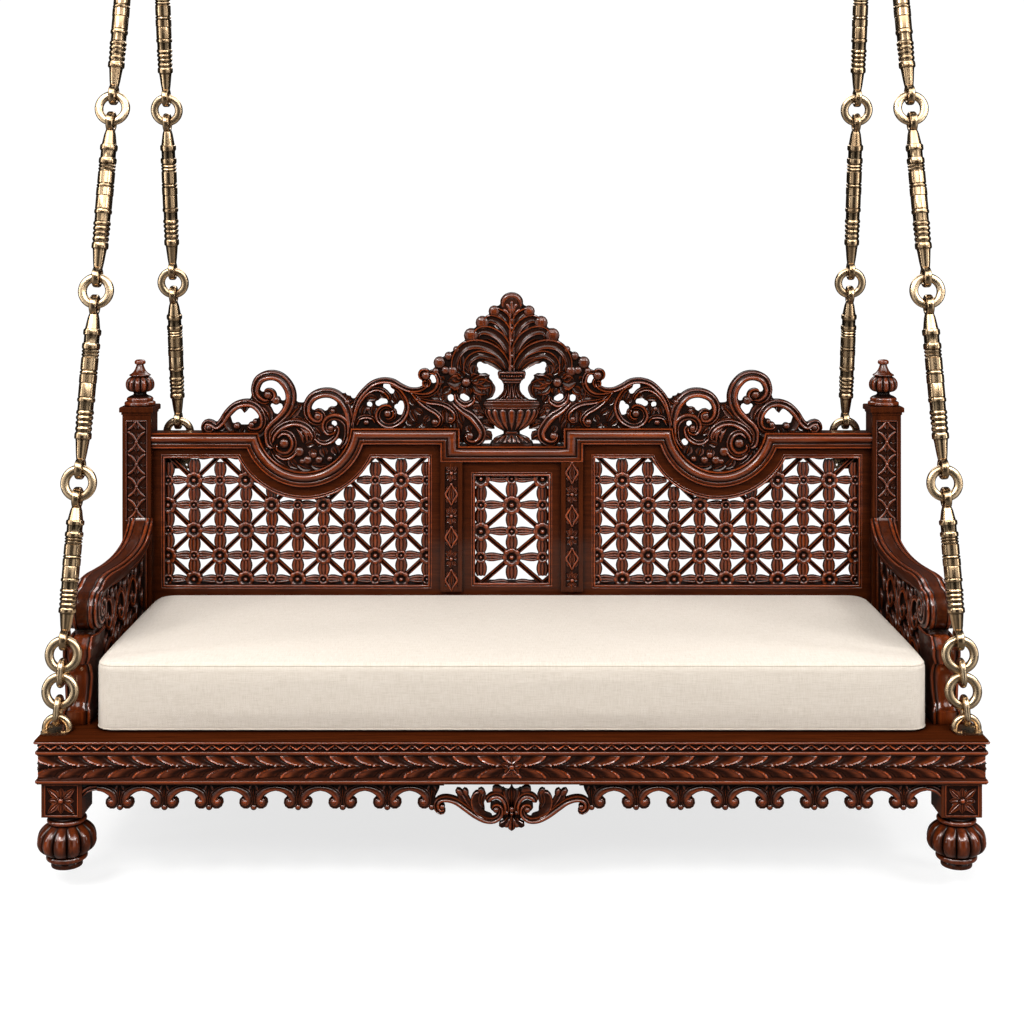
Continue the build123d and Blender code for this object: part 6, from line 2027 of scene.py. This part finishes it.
MARKS = rod_marks(ROD)
RING = []
for i in range(28):
    g = 2 * math.pi * i / 28 + 0.01
    RING.append((27.25 + 8.75 * math.copysign(abs(math.cos(g)) ** 0.86, math.cos(g)), 7.0 * math.copysign(abs(math.sin(g)) ** 0.90, math.sin(g))))
EYE = round_box(12.5, 21.5, 7.5, 4.0)
for side, tag in ((-1, "left"), (1, "right")):
    for which, bottom, stations in (("front", FRONT_EYE, FRONT_U), ("rear", REAR_EYE, REAR_U)):
        low, x, y, z, length = chain_line(bottom, side)
        top = length - TOP_RING
        us = stations + [(top + stations[0]) / 2, top]
        rings, rods = Mesh(), Mesh()
        for u in us + ([76.3] if which == "front" else []):
            turned(rings, RING, low + z * u, x, z, -y, 56, True, [0.0 if r > 22 else 0.35 for r, _ in RING])
        order = sorted(us)
        for a, b in zip(order, order[1:]):
            gap = b - a - 2 * EYE_OFF
            o = low + z * (a + EYE_OFF)
            for h in (0.0, gap):
                turned(rods, EYE, o + z * h, y, z, x, 32, True, [0.0 if r > 15 else 0.4 for r, _ in EYE])
            body = [(r, gap - 17 - (gap - 34) * s_) for s_, r in ROD][::-1]
            turned(rods, body, o, x, y, z, 30, False, MARKS[::-1])
        for mm_, kind in ((rings, "rings"), (rods, "rods")):
            o = mm_.obj(f"{kind}_{which}_{tag}_turned", ROD_BRASS_DIMMED if kind == "rods" else BRASS, nodes=(f"{kind}_{which}_{tag}",), slot="brass", sharp=24 if kind == "rods" else 60)
            v = np.concatenate(mm_.c).astype(np.float32)
            t_ = o.data.attributes.new("tarnish", "FLOAT", "POINT")
            t_.data.foreach_set("value", v)

# ------------------------------------------------------------------ CAD nodes: materials
MAT_FOR = {
    "W_D": (W_DECK, ["deck_board"]),
    "W_X": (W_X, ["front_rail", "rear_rail", "back_bottom_rail", "back_top_rail", "leaf_band_front", "leaf_band_rear", "panel_frame_left", "panel_frame_right", "panel_frame_centre"]),
    "W_Y": (W_Y, ["leaf_band_left", "leaf_band_right", "end_rail_left", "end_rail_right", "arm_sills", "deck_bearers"]),
    "W_Z": (W_Z, ["back_post_left", "back_post_right", "pilasters", "post_caps"]),
    "W_L": (W_LEG, ["leg_blocks"]),
}
brass_nodes = ["front_eye_plates", "rear_eye_plates", "hanger_yokes", "lower_links", "pivot_bushes", "eye_plate_screws", "ceiling_plates", "pivot_pins"]
for mat, names in MAT_FOR.values():
    for n in names:
        NODES[n].data.materials.clear()
        NODES[n].data.materials.append(mat)
for n in brass_nodes:
    NODES[n].data.materials.clear()
    NODES[n].data.materials.append(BRASS)
NODES["post_bolts"].data.materials.clear()
NODES["post_bolts"].data.materials.append(STEEL)

# ------------------------------------------------------------------ stage, light, camera
floor_mat = Mat("studio_floor")
c_ = floor_mat.n("ShaderNodeTexCoord")
fl_n = floor_mat.noise(floor_mat.coords(), 3.0, 2.0)
lp_ = floor_mat.n("ShaderNodeLightPath")
near_white = floor_mat.ramp(fl_n, [(0.3, (0.30, 0.30, 0.30)), (0.7, (0.31, 0.31, 0.31))])
floor_mat.link(floor_mat.mix(lp_.outputs["Is Camera Ray"], (0.20, 0.19, 0.18), near_white), floor_mat.b.inputs["Base Color"])
floor_mat.b.inputs["Roughness"].default_value = 1.0
floor_mat.b.inputs["Specular IOR Level"].default_value = 0.0
floor_mat.b.inputs["Emission Color"].default_value = (1, 1, 1, 1)
seen = floor_mat.n("ShaderNodeLightPath")
glow = floor_mat.n("ShaderNodeMapRange")
floor_mat.link(seen.outputs["Is Camera Ray"], glow.inputs["Value"])
glow.inputs["To Min"].default_value = 0.02
glow.inputs["To Max"].default_value = 0.755
floor_mat.link(glow.outputs["Result"], floor_mat.b.inputs["Emission Strength"])
# far from the swing the floor fades into the white studio
ln_ = floor_mat.n("ShaderNodeVectorMath")
ln_.operation = "LENGTH"
floor_mat.link(c_.outputs["Object"], ln_.inputs[0])
fade = floor_mat.n("ShaderNodeMapRange")
fade.interpolation_type = "SMOOTHSTEP"
floor_mat.link(ln_.outputs["Value"], fade.inputs["Value"])
fade.inputs["From Min"].default_value = 1.3
fade.inputs["From Max"].default_value = 3.2
fade.inputs["To Min"].default_value = 0.0
fade.inputs["To Max"].default_value = 1.0
clear_ = floor_mat.n("ShaderNodeBsdfTransparent")
sel_ = floor_mat.n("ShaderNodeMixShader")
floor_mat.link(fade.outputs["Result"], sel_.inputs[0])
floor_mat.link(floor_mat.b.outputs[0], sel_.inputs[1])
floor_mat.link(clear_.outputs[0], sel_.inputs[2])
out_ = [n_ for n_ in floor_mat.m.node_tree.nodes if n_.bl_idname == "ShaderNodeOutputMaterial"][0]
floor_mat.link(sel_.outputs[0], out_.inputs["Surface"])
me = bpy.data.meshes.new("floor")
fz = -0.040
me.from_pydata([(-9, -6, fz), (9, -6, fz), (9, 12, fz), (-9, 12, fz)], [], [(0, 1, 2, 3)])
me.materials.append(floor_mat.m)
floor = bpy.data.objects.new("floor", me)
SC.collection.objects.link(floor)

world = bpy.data.worlds.new("studio")
SC.world = world
world.use_nodes = True
wt = world.node_tree
bg = wt.nodes["Background"]
lp = wt.nodes.new("ShaderNodeLightPath")
mx = wt.nodes.new("ShaderNodeMix")
mx.data_type = "FLOAT"
mx.inputs[3].default_value = 1.05
gx = wt.nodes.new("ShaderNodeMix")
gx.data_type = "FLOAT"
gx.inputs[2].default_value = 0.20

def wnode(kind, **kw):
    n_ = wt.nodes.new(kind)
    for k_, v_ in kw.items():
        setattr(n_, k_, v_)
    return n_


def wmath(op, a_, b_):
    n_ = wnode("ShaderNodeMath", operation=op)
    for i_, x_ in enumerate((a_, b_)):
        if isinstance(x_, (int, float)):
            n_.inputs[i_].default_value = x_
        else:
            wt.links.new(x_, n_.inputs[i_])
    return n_.outputs[0]


def wband(v_, a_, b_, c_, d_):
    """0 up to a, 1 from b to c, 0 from d."""
    up = wnode("ShaderNodeMapRange", interpolation_type="SMOOTHSTEP")
    dn = wnode("ShaderNodeMapRange", interpolation_type="SMOOTHSTEP")
    for n_, lo_, hi_, t0, t1 in ((up, a_, b_, 0.0, 1.0), (dn, c_, d_, 1.0, 0.0)):
        wt.links.new(v_, n_.inputs["Value"])
        n_.inputs["From Min"].default_value = lo_
        n_.inputs["From Max"].default_value = hi_
        n_.inputs["To Min"].default_value = t0
        n_.inputs["To Max"].default_value = t1
    return wmath("MULTIPLY", up.outputs["Result"], dn.outputs["Result"])


tc_ = wnode("ShaderNodeTexCoord")
sp_ = wnode("ShaderNodeSeparateXYZ")
wt.links.new(tc_.outputs["Generated"], sp_.inputs[0])
wx, wy, wz = sp_.outputs["X"], sp_.outputs["Y"], sp_.outputs["Z"]
front_ = wmath("MULTIPLY", wy, -1.0)
sides_ = wmath("MULTIPLY", wband(wmath("ABSOLUTE", wx, 0.0), 0.36, 0.48, 0.74, 0.90), wband(front_, 0.0, 0.15, 2.0, 3.0))
above_ = wmath("MULTIPLY", wband(wz, 0.44, 0.56, 0.74, 0.86), wband(front_, 0.1, 0.3, 2.0, 3.0))
gloss_ = wmath("ADD", wmath("ADD", wmath("MULTIPLY", sides_, 1.4), wmath("MULTIPLY", above_, 6.6)), 0.03)
wt.links.new(gloss_, gx.inputs[3])
wt.links.new(lp.outputs["Is Glossy Ray"], gx.inputs[0])
wt.links.new(gx.outputs[0], mx.inputs[2])
wt.links.new(lp.outputs["Is Camera Ray"], mx.inputs[0])
wt.links.new(mx.outputs[0], bg.inputs["Strength"])
bg.inputs["Color"].default_value = (1, 1, 1, 1)


def area(name, loc, target, size, power, size_y=None, color=(1, 1, 1)):
    l = bpy.data.lights.new(name, "AREA")
    l.shape = "RECTANGLE"
    l.size = size
    l.size_y = size_y or size
    l.energy = power
    l.color = color
    o = bpy.data.objects.new(name, l)
    SC.collection.objects.link(o)
    o.location = loc
    o.rotation_euler = (Vector(target) - Vector(loc)).to_track_quat("-Z", "Y").to_euler()
    return o


area("key_softbox", (-1.8, -2.5, 3.0), (0, 0, 0.5), 1.1, 84, 0.8, (1.0, 0.985, 0.965))
area("fill_softbox", (2.4, -2.3, 2.5), (0, 0, 0.5), 1.0, 56, 0.9)
area("front_softbox", (0, -3.4, 2.5), (0, 0, 0.4), 2.6, 53, 0.5, (1.0, 0.98, 0.95))
area("top_softbox", (0, 0.7, 3.2), (0, 0, 0.4), 2.6, 25, 1.6)
area("strip_left", (-2.4, -0.8, 1.3), (0, 0, 0.6), 0.3, 18, 2.0)
area("strip_right", (2.4, -0.8, 1.3), (0, 0, 0.6), 0.3, 18, 2.0)
area("back_light", (0, 2.6, 3.0), (0, 0, 0.3), 2.6, 58, 1.2)

cam = bpy.data.cameras.new("camera")
co = bpy.data.objects.new("camera", cam)
SC.collection.objects.link(co)
cam.sensor_width = 36
cam.sensor_fit = "HORIZONTAL"
cam.lens = 1590 / 1024 * 36
cam.shift_x = 0.0003
cam.shift_y = -282 / 1024
co.location = (0, -3.370, 1.229 - DATUM * MM)
co.rotation_euler = (math.pi / 2, 0, 0)
SC.camera = co
SC.view_settings.view_transform = "Standard"
SC.view_settings.look = "None"
